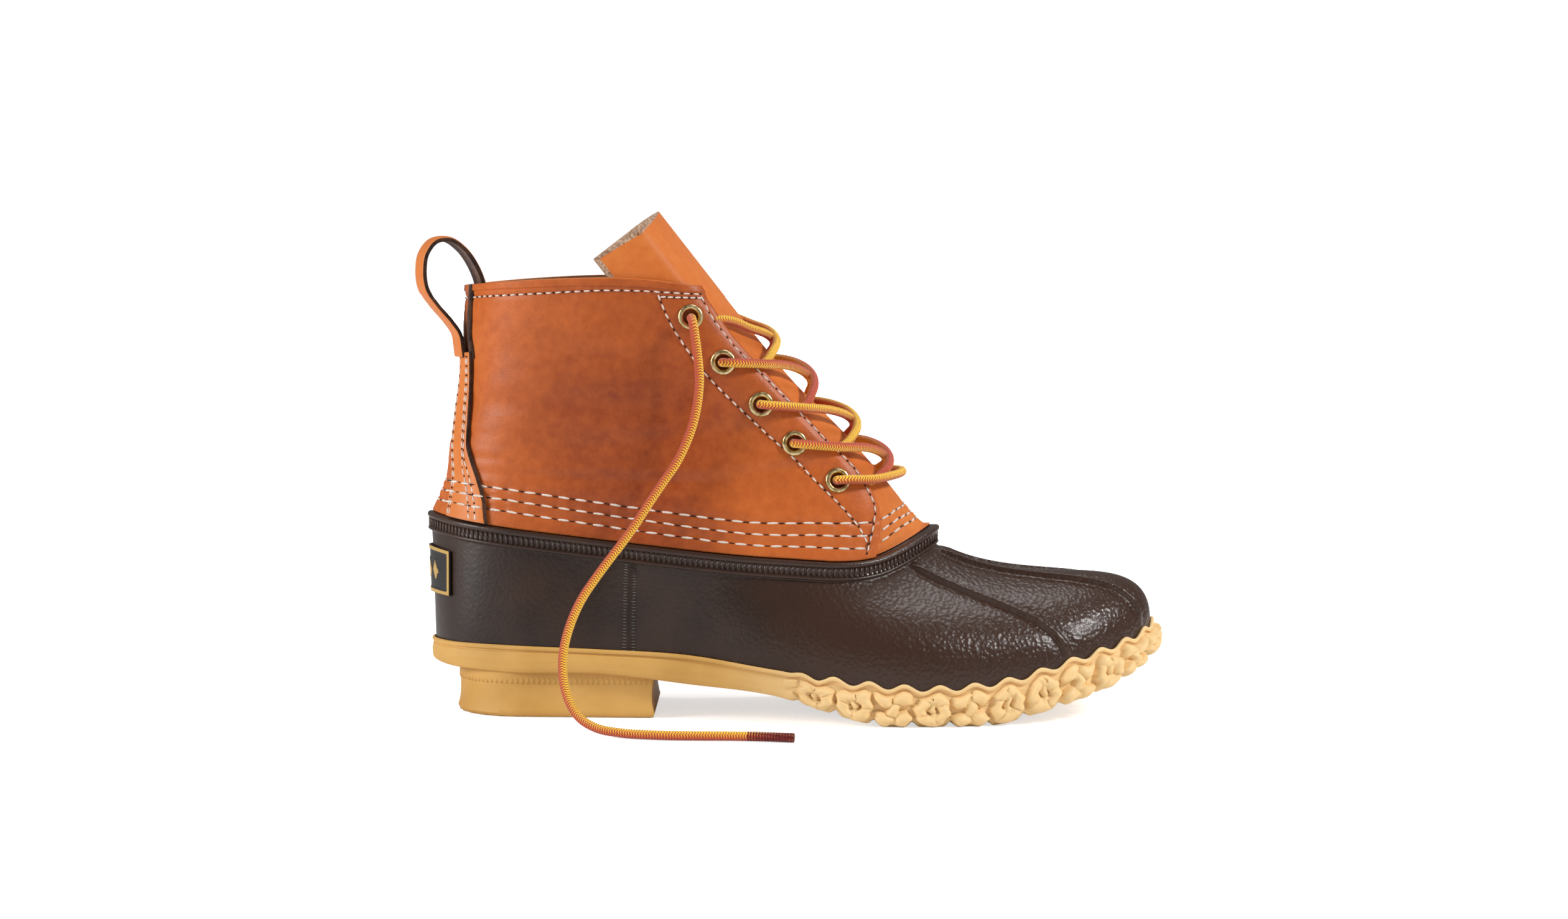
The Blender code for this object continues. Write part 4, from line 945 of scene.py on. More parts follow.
def makeOutsole(settings):
    lateral = soleSide(True, settings)
    medial = [part[-2:0:-1] for part in soleSide(False, settings)]
    rows = np.concatenate([lateral[0], wholeLoop - medial[0]])
    steps = np.concatenate([lateral[1], medial[1]])
    travel = np.concatenate([lateral[2], medial[2] + settings["medialShift"]])
    onChain = steps >= 0
    per = settings["samplesPerLobe"]
    lobe = np.where(onChain, 0.5 + 0.5 * np.cos(2 * math.pi * steps / per), 0.0)
    fade = np.where(onChain, np.clip((settings["lobes"] * per - steps) / per, 0.0, 1.0), 0.0)
    wave = fade * (lobe - 0.5)
    values = soleValues(rows)
    base = values[:, :3] * np.array([1.0, 1.0, 0.0])
    border = values[:, 2] + settings["wave"] * wave
    under = flattened(values[:, 3])
    out = outlineNormal(rows)
    overhang = settings["overhang"] + (settings["chainOverhang"] - settings["overhang"]) * fade
    heights = np.linspace(0.0, 0.5, 26)
    line = rubberOffset(rows[:, None], heights[None], boot["lipGap"] * 0.3)
    lipInner = np.array([[np.interp(edge, spots[:, 2], spots[:, k]) for k in (0, 1)] + [edge]
                         for edge, spots in zip(border, line)])
    span = border - under

    def shelf(distance, height):
        return base + distance[:, None] * out + height[:, None] * upAxis

    floor = values[:, 2] - boot["seatDepth"] - boot["fitGap"]
    thick = settings["lipThickness"]
    lipOut = np.sum((lipInner - base) * out, axis=1)
    top = lipOut + thick
    # the chain's lower edge is notched between its links
    beat = np.abs(np.mod(travel / settings["linkPitch"], 1.0) - 0.5)
    notch = settings["notch"] * np.clip((beat - 0.28) / 0.22, 0.0, 1.0) ** 2
    wall = []
    for share in np.linspace(1.0, 0.0, settings["wallRings"]):
        belly = np.interp(share, (0.0, 0.06, 0.2, 0.55, 0.88, 0.93, 1.0),
                          (0.45, 0.75, 0.92, 1.0, 0.80, 0.55, 0.50))
        plain = np.where(share > 0.9, np.maximum(overhang * belly, top * 0.35), overhang * belly)
        relief = linkRelief(travel, share, span, settings) * fade
        relief = relief * np.clip((0.95 - share) / 0.05, 0.0, 1.0)
        wall.append(shelf(plain - settings["sink"] * fade + settings["relief"] * relief,
                          under + share * (span - thick * 1.2)
                          + notch * fade * np.clip(1.0 - share / 0.4, 0.0, 1.0) ** 2))
    lip = [lipInner, lipInner + 0.5 * thick * out + 0.0003 * upAxis, lipInner + thick * out,
           lipInner + 1.15 * thick * out - 0.5 * thick * upAxis,
           lipInner + 0.9 * thick * out - 1.1 * thick * upAxis]
    rings = [shelf(np.full(len(rows), boot["lipGap"]), floor), *lip, *wall,
             shelf(np.full(len(rows), -0.0016), under + 0.0004 + 0.6 * notch * fade),
             shelf(np.full(len(rows), -0.0060), under + settings["treadDepth"] * 0.5)]
    rings = np.array(rings)
    layers, size = rings.shape[:2]
    faces = gridFaces(layers, size, False, True) + capFaces(layers, size)
    return makeMesh("treadedSole", rings.reshape(-1, 3), faces, [tanRubber], sharp=50)


outsole = makeOutsole(sole)


def heelOutline(inset, height, settings):
    back = settings["heelBack"] - boot["heelToOrigin"] + inset
    breast = back + settings["heelLength"] - 2 * inset
    half = settings["heelHalfWidth"] - inset
    angle = np.linspace(0.0, math.pi / 2, 60)
    x = back + settings["heelReach"] * (1.0 - np.cos(angle) ** 0.9)
    side = np.stack([x, half * np.sin(angle) ** 0.85], axis=1)
    straight = np.linspace(side[-1], (breast, half), 60)[1:]
    oneSide = np.concatenate([side, straight, [(breast + 0.0002, half - 0.0012)]])
    ring = np.concatenate([oneSide, oneSide[:0:-1] * np.array([1.0, -1.0])])
    return np.column_stack([ring, np.full(len(ring), height)])


def makeHeelBlock(settings):
    top = 0.103 * boot["shaftHeight"] + settings["heelSink"]
    # height and inset of each ring, from the recessed underside over the foot ring and up
    profile = ((0.0012, 0.0044), (0.0011, 0.0036), (0.0001, 0.0032), (0.0, 0.0014),
               (0.0006, 0.0005), (0.0016, 0.0), (0.0030, 0.0004), (0.006, 0.0009),
               (0.009, 0.0010), (0.012, 0.0009), (0.0145, 0.0006), (0.0165, 0.0004), (top, 0.0004))
    rings = [heelOutline(inset, height, settings) for height, inset in profile]
    size = len(rings[0])
    faces = gridFaces(len(rings), size, False, True)
    faces += [tuple(layer * size + n for n in range(size)) for layer in (0, len(rings) - 1)]
    return makeMesh("heelBlock", np.concatenate(rings), faces, [tanRubber], sharp=50)


def makeHeelRibs(settings):
    # fine upright ribs at the top of the heel block and shallow bars at its foot
    ring = heelOutline(0.0008, 0.0, settings)[:, :2]
    closed = np.vstack([ring, ring[:1]])
    run = runAlong(closed)
    pieces = []
    for name, pitch, centre, tall, wide, proud in (
            ("heelTopRibs", 0.0021, 0.0150, 0.0034, 0.0014, 0.0007),
            ("heelFootBars", 0.0066, 0.0012, 0.0020, 0.0040, 0.0006)):
        count = int(run[-1] / pitch)
        wanted = (np.arange(count) + 0.5) * run[-1] / count
        spots = sampled(wanted, run, closed)
        out = levelNormal(sampled(wanted + 0.0004, run, closed) - spots)
        middle = np.column_stack([spots, np.full(count, centre)])
        pieces.append(repeated(name, barTree, middle, np.broadcast_to(upAxis, out.shape), out,
                               tanRubber, tall, wide, proud))
    return pieces


def makeTread(settings):
    # short rounded lugs, leaning left and right by turns, under the forefoot and the heel
    rows, pitch = np.linspace(0.0, tipRow, 200), settings["lugPitch"]
    table, other = soleValues(rows), soleValues(wholeLoop - rows)
    back = settings["heelBack"] - boot["heelToOrigin"]
    spans = []
    for x in np.arange(0.098, 0.226, pitch):  # forefoot
        spans.append((x, np.interp(x, table[:, 0], table[:, 1]) + 0.009,
                      np.interp(x, other[:, 0], other[:, 1]) - 0.009,
                      np.interp(x, table[:, 0], flattened(table[:, 3]))))
    for x in np.arange(back + 0.008, back + settings["heelLength"] - 0.004, pitch):
        half = settings["heelHalfWidth"] * min(1.0, math.sqrt((x - back) / 0.030)) - 0.004
        spans.append((x, -half, half, 0.0))
    points, ahead = [], []
    for x, low, high, z in spans:
        count = max(1, int((high - low) / 0.0105))
        for n in range(count):
            slant = 0.5 if (n + int((x + 0.1) / pitch)) % 2 else -0.5
            points.append((x, low + (n + 0.5) * (high - low) / count, z + 0.0011))
            ahead.append((math.sin(slant), math.cos(slant), 0.0))
    return repeated("treadLugs", ballTree, points, ahead, [(0.0, 0.0, -1.0)] * len(points),
                    tanRubber, 0.0098, 0.0046, 0.0020)


outsole = joined("treadedSole", [outsole, makeHeelBlock(sole), *makeHeelRibs(sole),
                                 makeTread(sole)])
settle(outsole, "tan_rubber", "outsole")
print("outsole done")

# insole
insole = {"rows": 240, "profile": ((0.0, 0.0002), (0.0001, 0.0020), (-0.0002, 0.0034),
                                   (-0.0012, 0.0039), (-0.0040, 0.0040))}


def makeInsole(settings):
    rows = np.linspace(0.0, wholeLoop, settings["rows"] + 1)[:-1]
    values = soleValues(rows)
    out = outlineNormal(rows)
    base = values[:, :3] * np.array([1.0, 1.0, 0.0])
    inset = boot["rubberWall"] + boot["insoleSideGap"]
    floor = (values[:, 2] - boot["seatDepth"])[:, None] * upAxis
    rings = np.array([base + (shift - inset) * out + floor + height * upAxis
                      for shift, height in settings["profile"]])
    layers, size = rings.shape[:2]
    faces = gridFaces(layers, size, False, True) + capFaces(layers, size)
    return makeMesh("feltInsole", rings.reshape(-1, 3), faces, [insoleFelt], sharp=60)


settle(makeInsole(insole), "insole_board", "insole")
print("insole done")

# upper
upper = {"columns": 331, "levels": 115, "hemSection": 5.66, "hemStep": 0.0007,
         "pucker": 0.00045, "quilt": 0.0003, "stitchPitch": 0.0070,
         "eyeletSections": (5.23, 4.26, 3.47, 2.71, 1.86), "eyeletInset": 0.0104,
         "holeRadius": 0.0037}
# creases: station, section, half length, half height, turn in degrees, depth in metres
creases = (
    (0.55, 2.30, 0.70, 0.12, 6.0, 0.0002), (0.85, 1.75, 0.80, 0.11, -4.0, 0.0002),
    (2.30, 1.55, 1.10, 0.12, 10.0, 0.0005), (3.00, 1.90, 0.90, 0.12, 24.0, 0.0006),
    (2.70, 2.60, 0.90, 0.16, 28.0, 0.0004), (1.60, 3.20, 1.00, 0.22, 3.0, 0.0004),
    (2.10, 4.30, 0.90, 0.26, -6.0, 0.0003),
)


def eyeletPlace(side, level):
    # centre and axis: steps back from the throat's edge until the inset is reached
    rim = leatherSkin(throatStation, level)
    lean = unit(leatherSkin(throatStation, level + 0.1) - leatherSkin(throatStation, level - 0.1))
    station, inset = throatStation, 0.0
    while inset < upper["eyeletInset"]:
        station -= 0.02
        point = leatherSkin(station, level)
        inset = np.linalg.norm(point - rim - lean * np.dot(point - rim, lean))
    flip = np.array([1.0, -side, 1.0])
    return point * flip, leatherNormal(station, level) * flip


heavyRow = ((0.30, 0.99), (0.83, 1.02), (1.4, 1.04), (2.08, 0.98), (2.82, 0.94), (3.3, 0.97),
            (4.0, 0.90), (4.45, 1.14), (5.0, 1.28))  # station and section of the top row
heavyDrops = (0.0, 0.255, 0.49)


def rowSection(station, number):
    # section of the three rows of heavy stitching round the foot
    return np.interp(np.abs(station), *zip(*heavyRow)) - heavyDrops[number]


footStations = np.linspace(0.0, frontStation, 600)
footRun = runAlong(leatherSkin(footStations, 0.7))


def footTravel(station):
    # how far along the heavy stitching a station is, in metres from the back
    return np.interp(np.abs(station), footStations, footRun)


def leatherRelief(station, section):
    reach = np.abs(station)
    lift = np.zeros_like(station)
    # quilting between the heavy rows: soft rolls, pulled in where the needle went through
    pull = 0.5 + 0.5 * np.cos(2 * math.pi * footTravel(station) / upper["stitchPitch"])
    band = smoothStep(0.25, 0.5, section - rowSection(reach, 2) + 0.45) * smoothStep(
        0.0, 0.22, rowSection(reach, 0) + 0.22 - section)
    lift -= upper["quilt"] * pull ** 3 * band
    for number in range(3):
        gap = (section - rowSection(reach, number)) / 0.07
        lift -= upper["pucker"] * np.exp(-gap ** 2) * (0.5 + 0.5 * pull)
    for number in range(2):
        middle = rowSection(reach, number) - 0.125
        lift += upper["quilt"] * np.exp(-((section - middle) / 0.10) ** 2) * (1.0 - 0.5 * pull)
    for spot, level, long, tall, turn, depth in creases:
        c, s = math.cos(math.radians(turn)), math.sin(math.radians(turn))
        a = (reach - spot) / long
        b = (section - level) / tall
        across = -a * s * (long / tall) + b * c
        lengthwise = a * c + b * s * (tall / long)
        lift -= depth * np.exp(-across ** 2) * np.exp(-lengthwise ** 4)
        lift += 0.5 * depth * np.exp(-(across - 1.9) ** 2) * np.exp(-lengthwise ** 4)
    return lift


def makeUpper(settings):
    hem = settings["hemSection"]
    plain = np.linspace(0.0, hem - 0.05, settings["levels"])
    top = np.concatenate([np.linspace(hem - 0.04, hem + 0.06, 9), np.linspace(hem + 0.1, 5.97, 8)])
    levels = np.concatenate([plain, top, [6.0]])
    stations = np.linspace(-throatStation, throatStation, settings["columns"])
    stationGrid, levelGrid = np.meshgrid(stations, levels)
    raised = settings["hemStep"] * smoothStep(hem, hem + 0.05, levelGrid)
    raised -= 0.0004 * np.exp(-((levelGrid - 5.55) / 0.05) ** 2)
    raised -= 0.0006 * smoothStep(5.90, 6.0, levelGrid)
    # stitch dimples of the facing's two rows
    raised -= 0.00025 * np.exp(-((np.abs(stationGrid) - 3.93) / 0.035) ** 2) * (levelGrid < 5.6)
    rear = np.interp(levelGrid, (0.5, 1.41, 2.6, 3.7, 5.6), (3.87, 3.59, 3.46, 3.37, 3.24))
    raised -= 0.00030 * np.exp(-((np.abs(stationGrid) - rear) / 0.05) ** 2) * (levelGrid < 5.6)
    raised += leatherRelief(stationGrid, levelGrid)
    outer = leatherOnRim(stationGrid, levelGrid, np.zeros_like(stationGrid))
    outer = outer + raised[..., None] * leatherNormal(stationGrid, levelGrid)
    inner = leatherOnRim(stationGrid, levelGrid, np.full_like(stationGrid, -boot["leatherWall"]))
    shell = sheetSolid("leatherUpper", outer, inner, [upperLeather, innerSuede, stripLeather],
                       0.0005)
    cutters = []
    for side in (-1.0, 1.0):
        for level in settings["eyeletSections"]:
            centre, axis = eyeletPlace(side, level)
            bpy.ops.mesh.primitive_cylinder_add(vertices=24, radius=settings["holeRadius"],
                                                depth=0.012, location=centre)
            hole = bpy.context.active_object
            hole.rotation_mode = "QUATERNION"
            hole.rotation_quaternion = Vector(axis).to_track_quat("Z", "Y")
            hole.data.materials.append(innerSuede)
            cutters.append(hole)
    cutter = joined("eyeletCutters", cutters)
    step = shell.modifiers.new("holes", "BOOLEAN")
    step.operation, step.solver, step.object = "DIFFERENCE", "EXACT", cutter
    graph = bpy.context.evaluated_depsgraph_get()
    mesh = bpy.data.meshes.new_from_object(shell.evaluated_get(graph))
    shell.modifiers.clear()
    shell.data = mesh
    bpy.data.objects.remove(cutter, do_unlink=True)
    return shell


upperShell = makeUpper(upper)
settle(upperShell, "leather", "upper")
print("upper done", len(upperShell.data.polygons))

# tongue
tongue = {"columns": 121, "peakAlong": 0.304, "peakUp": 1.141, "topLevel": 6.9,
          "wings": ((0.0, 0.16), (1.0, 0.20), (1.35, 0.40), (2.0, 0.50), (3.0, 0.56), (4.0, 0.66),
                    (5.0, 0.95), (6.0, 1.55)),
          "rawRows": 20, "rawRow": 0.0074, "rawDepth": 15.0}


def makeTongue(settings):
    fine = settings["topLevel"] - settings["rawRow"] * np.arange(settings["rawRows"], -1, -1)
    levels = np.concatenate([np.linspace(0.0, topSection, 76),
                             np.linspace(topSection + 0.06, fine[0] - 0.04, 18), fine])
    wings = np.interp(levels, *zip(*settings["wings"]))
    shares = np.linspace(-1.0, 1.0, settings["columns"])
    stations = frontStation + (frontStation - throatStation + wings)[:, None] * shares[None]
    low, high = leatherSkin(frontStation, np.array([topSection - 0.35, topSection]))
    lean = unit(high - low)
    peak = np.array(place(settings["peakAlong"], 0.0, settings["peakUp"]))
    part = np.clip((levels - topSection) / (levels[-1] - topSection), 0.0, 1.0)[:, None]
    edge = leatherSkin(stations, 0.0)[..., 2] + boot["fitGap"]
    depth = boot["leatherWall"] + boot["tongueGap"]
    grids = []
    for distance in (-depth, -depth - boot["tongueWall"]):
        points = leatherOffset(stations, np.minimum(levels, topSection - 0.001)[:, None], distance)
        # above the collar it runs straight on, to a top that is level with its peak
        points += (part * ((peak - points) @ lean))[..., None] * lean
        points[..., 2] = np.maximum(points[..., 2], edge)
        grids.append(points)
    outer, inner = grids
    # rows of heavy stitching go on over the foot of the tongue
    mirrored = np.minimum(stations, 2 * frontStation - stations)
    lift = leatherRelief(mirrored, levels[:, None]) * (levels[:, None] < 1.6)
    outer = outer + lift[..., None] * leatherNormal(stations, np.minimum(levels, 5.99)[:, None])
    # pale raw leather shows along the free edges above the collar
    painted = np.zeros((len(levels) - 1, settings["columns"] - 1), int)
    painted[levels[:-1] > 5.8, :3] = 2
    half = painted.shape[1] // 2
    for column in range(half):
        wedge = int(settings["rawDepth"] * min(1.0, 1.9 * (1.0 - column / half)))
        painted[len(painted) - wedge:, column] = 2
    return sheetSolid("leatherTongue", outer, inner, [tongueLeather, innerSuede, tongueEdge],
                      0.0002, painted)


settle(makeTongue(tongue), "leather", "tongue")
print("tongue done")

# strip at the back and pull loop
backstay = {"rows": ((0.02, 1.02, 0.25), (0.6, 0.96, 0.27), (1.2, 0.88, 0.27), (2.0, 0.74, 0.28),
                     (3.0, 0.55, 0.29), (4.0, 0.42, 0.27), (4.35, 0.40, 0.27)),
            "columns": 31, "levels": 90, "grooves": 0.62, "grooveDepth": 0.0003}


def stripPlace(level, share):
    levels, centres, halves = zip(*backstay["rows"])
    return np.interp(level, levels, centres) + np.interp(level, levels, halves) * share


def makeBackstay(settings):
    levels = np.linspace(0.0, settings["rows"][-1][0], settings["levels"])
    shares = np.linspace(-1.0, 1.0, settings["columns"])
    stations = stripPlace(levels[:, None], shares[None])
    sections = np.broadcast_to(levels[:, None], stations.shape)
    inner = leatherOnRim(stations, sections, np.full_like(stations, boot["stripGap"]))
    crown = boot["stripWall"] * (1.0 - 0.35 * np.abs(shares) ** 6)
    fromGroove = np.abs(shares) - settings["grooves"]
    crown -= settings["grooveDepth"] * np.exp(-(fromGroove / 0.10) ** 2)
    outer = inner + crown[None, :, None] * leatherNormal(stations, sections)
    # the raw edge is wide enough to show as a dark line from the side
    painted = np.zeros((settings["levels"] - 1, settings["columns"] - 1), int)
    painted[:, -1] = 2
    return sheetSolid("backStrip", outer, inner, [stripLeather, innerSuede, cutEdge], 0.0002,
                      painted)


rawEdgeInShade = {"line": ((4.2, 0.655), (4.7, 0.56), (5.93, 0.50)), "halfWidth": 0.075,
           "ripple": 0.008, "thickness": 0.0011}


def makeRawEdgeInShade(settings):
    # the strip's raw edge goes on from the loop up to the collar, along the back of the shaft, as
    # a low step; its dark colour is partly the edge's own and partly painted shade on the far
    # quarter's edge there
    line = settings["line"]
    levels = np.linspace(line[0][0], line[-1][0], 50)
    shares = np.linspace(-1.0, 1.0, 7)
    width = settings["halfWidth"] + settings["ripple"] * np.sin(levels * 9.0)
    stations = np.interp(levels, *zip(*line))[:, None] + width[:, None] * shares[None]
    crown = settings["thickness"] * (1.0 - 0.6 * shares ** 4)
    outer = leatherOffset(stations, levels[:, None], crown[None])
    inner = leatherOffset(stations, levels[:, None], 0.0001)
    return sheetSolid("rawEdgeInShade", outer, inner, [cutEdge, cutEdge, cutEdge], 0.0001)


settle(makeBackstay(backstay), "leather", "backstay")
settle(makeRawEdgeInShade(rawEdgeInShade), "leather")

pullLoop = {"line": ((0.0415, 0.812), (0.0398, 0.834), (0.037, 0.862), (0.025, 0.893),
                     (0.006, 0.930), (-0.008, 0.965), (-0.012, 1.010), (-0.008, 1.050),
                     (0.006, 1.078), (0.024, 1.081), (0.043, 1.060), (0.060, 1.020),
                     (0.070, 0.975), (0.072, 0.925)),
            "width": 0.0135, "thickness": 0.0021, "turn": 19.0, "across": -0.040, "count": 110}


def makePullLoop(settings):
    line = along([place(a, settings["across"], u) for a, u in settings["line"]], settings["count"])
    turn = math.radians(settings["turn"])
    side = np.array([math.sin(turn), -math.cos(turn), 0.0])
    out = unit(np.cross(np.gradient(line, axis=0), side))[:, None]
    shares = np.linspace(-1.0, 1.0, 17)
    flat = line[:, None] + (shares * settings["width"] / 2)[:, None] * side
    cup = 0.0004 * shares ** 2 - 0.0002
    soft = settings["thickness"] / 2 * (1.0 - 0.3 * np.abs(shares) ** 8)
    outer, inner = (flat + (cup + sign * soft)[:, None] * out for sign in (-1.0, 1.0))
    return sheetSolid("pullLoop", outer, inner, [stripLeather, loopSuede, cutEdge], 0.0001)


settle(makePullLoop(pullLoop), "leather", "pull_loop")
print("strip and loop done")

# heel label
label = {"width": 0.046, "height": 0.0185, "thickness": 0.0012, "lift": 0.0085,
         "relief": 0.0003, "frame": (0.0014, 0.0019), "lozenges": 3.5}


def labelPoint(across, up, lift):
    # across and up run from -1 to 1 over the plate
    rises = np.linspace(0.0, 1.0, 61)
    heights = rubberSkin(np.zeros(61), rises)[:, 2]
    low = 0.5 * (heights[0] + heights[-1]) - 0.5 * label["height"] + label["lift"]
    levels = np.interp(low + label["height"] * (np.asarray(up) + 1.0) / 2, heights, rises)
    fine = np.linspace(0.0, 3.0, 121)
    run = runAlong(soleValues(fine)[:, :2])
    rows = np.interp(label["width"] / 2 * np.abs(across), run, fine) * np.sign(across)
    return rubberOffset(rows, levels, lift)


def makeLabel(settings):
    a, u = np.meshgrid(np.linspace(-1.0, 1.0, 97), np.linspace(-1.0, 1.0, 41))
    # raised frame just inside the edge and a plain row of lozenges
    side = np.minimum((1.0 - np.abs(a)) * settings["width"],
                      (1.0 - np.abs(u)) * settings["height"])
    frame = 1.0 - smoothStep(*settings["frame"], side / 2)
    wide = np.mod(a * settings["lozenges"] + 0.5, 1.0) - 0.5
    lozenge = np.clip(1.0 - (np.abs(wide) / 0.42 + np.abs(u) / 0.55), 0.0, 1.0)
    raised = frame + smoothStep(0.0, 0.25, lozenge) * (np.abs(a) < 0.78)
    top = boot["labelGap"] + settings["thickness"] + settings["relief"] * (raised - 1.0)
    gold = raised > 0.4
    return sheetSolid("heelLabel", labelPoint(a, u, top), labelPoint(a, u, boot["labelGap"]),
                      [labelBlack, labelBlack, labelBlack, labelGold], 0.0,
                      3 * (gold[:-1, :-1] & gold[1:, 1:]))


settle(makeLabel(label), "label_black", "heel_label")
print("label done")

# eyelets
eyelet = {"hole": 0.0029, "tube": 0.0006, "flange": 0.0050, "proud": 0.0009, "turns": 36}


def makeEyelets(settings):
    hole, lift = settings["hole"], boot["flangeLift"]
    sleeve, flange, proud = hole + settings["tube"], settings["flange"], settings["proud"]
    middle, half = 0.5 * (hole + flange), 0.5 * (flange - hole)
    profile = [(hole, -boot["leatherWall"]), (hole, -0.0008), (hole + 0.00002, 0.0002)]
    for angle in np.linspace(0.0, math.pi, 9):  # rolled face from the hole to the flange's edge
        profile.append((middle - half * math.cos(angle), lift + proud * math.sin(angle) ** 0.8))
    profile += [(flange - 0.0002, lift - 0.0003), (sleeve, lift - 0.0004),
                (sleeve, -boot["leatherWall"])]
    wide, high = np.array(profile).T
    angle = (2 * math.pi * np.arange(settings["turns"]) / settings["turns"])[:, None]
    local = np.stack([wide * np.cos(angle), wide * np.sin(angle), high + 0 * angle], axis=-1)
    pieces, faces = [], []
    for side in (-1.0, 1.0):
        for level in upper["eyeletSections"]:
            centre, axis = eyeletPlace(side, level)
            turn = np.array(Vector(axis).to_track_quat("Z", "Y").to_matrix())
            faces += gridFaces(*local.shape[:2], True, True, len(pieces) * wide.size * angle.size)
            pieces.append((local @ turn.T + centre).reshape(-1, 3))
    return makeMesh("eyelets", np.concatenate(pieces), faces, [antiqueBrass])


eyeletNodes = ["eyelet_%s_%d" % (side, n) for side in ("lateral", "medial") for n in range(1, 6)]
settle(makeEyelets(eyelet), "antique_brass", *eyeletNodes)
print("eyelets done")

# laces
lace = {"diameter": 0.0036, "clear": 0.0004, "crest": 0.0022, "overLift": 0.0016,
        "edgeClear": 0.07, "sides": 18, "step": 0.00042, "spiral": 0.012, "relief": 0.10,
        "strandFace": (0.25, -0.85, 0.45), "barPhase": 0.65, "crossPhases": (0.33, 0.83)}


def tubePoints(path, sides, ups, angle, radius):
    ring = np.cos(angle)[..., None] * sides[:, None] + np.sin(angle)[..., None] * ups[:, None]
    return (path[:, None] + radius[..., None] * ring).reshape(-1, 3)


def laceTube(name, path, settings, face, start=0.5, phase=0.0):
    # braided round lace; face and phase, in turns, set where around it the two colours meet
    _, sides, ups = tubeFrames(path, face, start)
    rings, count = len(path), settings["sides"]
    v = np.arange(count + 1) / count
    u = runAlong(path) / settings["diameter"]
    angle = 2 * math.pi * (v[None, :-1] + phase + settings["spiral"] * u[:, None] / 4.0)
    fold = np.abs(np.mod(v[:-1] * 6.0, 1.0) - 0.5)
    beat = np.mod(u[:, None] * 3.4 + fold[None], 1.0)
    swell = settings["relief"] * (np.sqrt(np.clip(np.sin(math.pi * beat), 0, 1)) - 1.0)
    vertices = np.concatenate([tubePoints(path, sides, ups, angle, settings["diameter"] / 2
                                          * (1.0 + swell)), path[:1], path[-1:]])
    tips = [(ring + n, ring + (n + 1) % count, rings * count + end) for end, ring in
            enumerate((0, (rings - 1) * count)) for n in range(count)]
    uv = [corner for r in range(rings - 1) for c in range(count) for corner in (
        (u[r], v[c]), (u[r], v[c + 1]), (u[r + 1], v[c + 1]), (u[r + 1], v[c]))]
    uv += [(0.0, 0.0)] * (3 * len(tips))
    return makeMesh(name, vertices, gridFaces(rings, count, False, True) + tips, [laceBraid],
                    cornerUv=uv)


def strandPoints(start, end, overStart, overEnd, lift=0.0):
    # from one eyelet to another, out through its hole where it is over, else from under the edge
    stepUp = boot["leatherWall"] + boot["tongueGap"]
    radius = lace["diameter"] / 2
    ends = []
    for (side, level), over in ((start, overStart), (end, overEnd)):
        flip = np.array([1.0, -side, 1.0])
        centre, axis = eyeletPlace(side, level)
        edge = leatherSkin(throatStation, level) * flip
        inward = unit(edge - centre)
        if over:
            inside = centre - axis * 0.0016 - inward * 0.0002
            throughHole = centre + axis * 0.0012 - inward * 0.0001
            rise = boot["flangeLift"] + eyelet["proud"] + radius
            mouth = centre + axis * rise + inward * 0.0022
            brow = edge + axis * (radius + 3 * lace["clear"] + eyelet["proud"])
            ends.append([inside, throughHole, mouth, brow])
        else:
            beside = throatStation + lace["edgeClear"]
            drop = leatherOffset(beside, level, radius + lace["clear"] - stepUp) * flip
            behind = leatherOffset(beside - 0.16, level, -stepUp + radius * 0.55) * flip
            ends.append([behind, drop])
    middle = []
    for share in (0.22, 0.4, 0.6, 0.78):
        level = start[1] + (end[1] - start[1]) * share
        beside = throatStation + lace["edgeClear"]
        turn = beside + (frontStation - beside) * (1 - abs(2 * share - 1))
        side = start[0] if share < 0.5 else end[0]
        arch = (lace["crest"] + lift) * math.sin(math.pi * share)
        arch += stepUp * (overStart * (1.0 - share) + overEnd * share)
        point = leatherOffset(turn, level, radius + lace["clear"] + arch - stepUp)
        middle.append(point * np.array([1.0, -side, 1.0]))
    return ends[0] + middle + ends[1][::-1]


def laceStrand(name, points, phase):
    return laceTube(name, along(points, spacing=lace["step"]), lace, lace["strandFace"],
                    phase=phase)


def makeLaces():
    levels = upper["eyeletSections"]
    bar = laceStrand("laceBar", strandPoints((-1.0, levels[-1]), (1.0, levels[-1]), True, True),
                     lace["barPhase"])
    settle(bar, "lace_braid", "lace_bar")
    for number in range(1, 5):
        high, low = levels[number - 1], levels[number]
        over = number > 1
        # yellow and rust are uppermost by turns
        phase = lace["crossPhases"][number % 2]
        one = laceStrand("laceOne%d" % number,
                         strandPoints((1.0, low), (-1.0, high), False, over), phase)
        two = laceStrand("laceTwo%d" % number,
                         strandPoints((-1.0, low), (1.0, high), False, over, lace["overLift"]),
                         phase)
        settle(joined("laceCrossing%d" % number, [one, two]), "lace_braid",
               "lace_crossing_%d" % number)


makeLaces()


def makeLooseLace(settings):
    path = along(settings["route"], settings["count"])
    piece = laceTube("looseLace", path, lace, (0.0, -1.0, 0.0), 0.55, 0.40)
    settle(piece, "lace_braid", "lace_end")
    run = runAlong(path)
    begin = np.searchsorted(run, run[-1] - settings["tipLength"])
    core = path[begin:]
    _, sides, ups = tubeFrames(core)
    size, count = len(core), settings["tipSides"]
    angle = 2 * math.pi * np.arange(count)[None] / count
    wraps = np.sin(2 * math.pi * (run[begin:] - run[begin]) / settings["tipWrap"])[:, None]
    points = tubePoints(core, sides, ups, angle, settings["diameter"] / 2 * (1.0 + 0.03 * wraps))
    faces = gridFaces(size, count, False, True)
    faces += [tuple(layer * count + n for n in range(count)) for layer in (0, size - 1)]
    tip = makeMesh("laceTip", points, faces, [tipMaterial], sharp=50)
    settle(tip, "lace_braid")
    print("loose lace length", round(float(run[-1]), 4))


makeLooseLace(looseLace)
print("laces done")

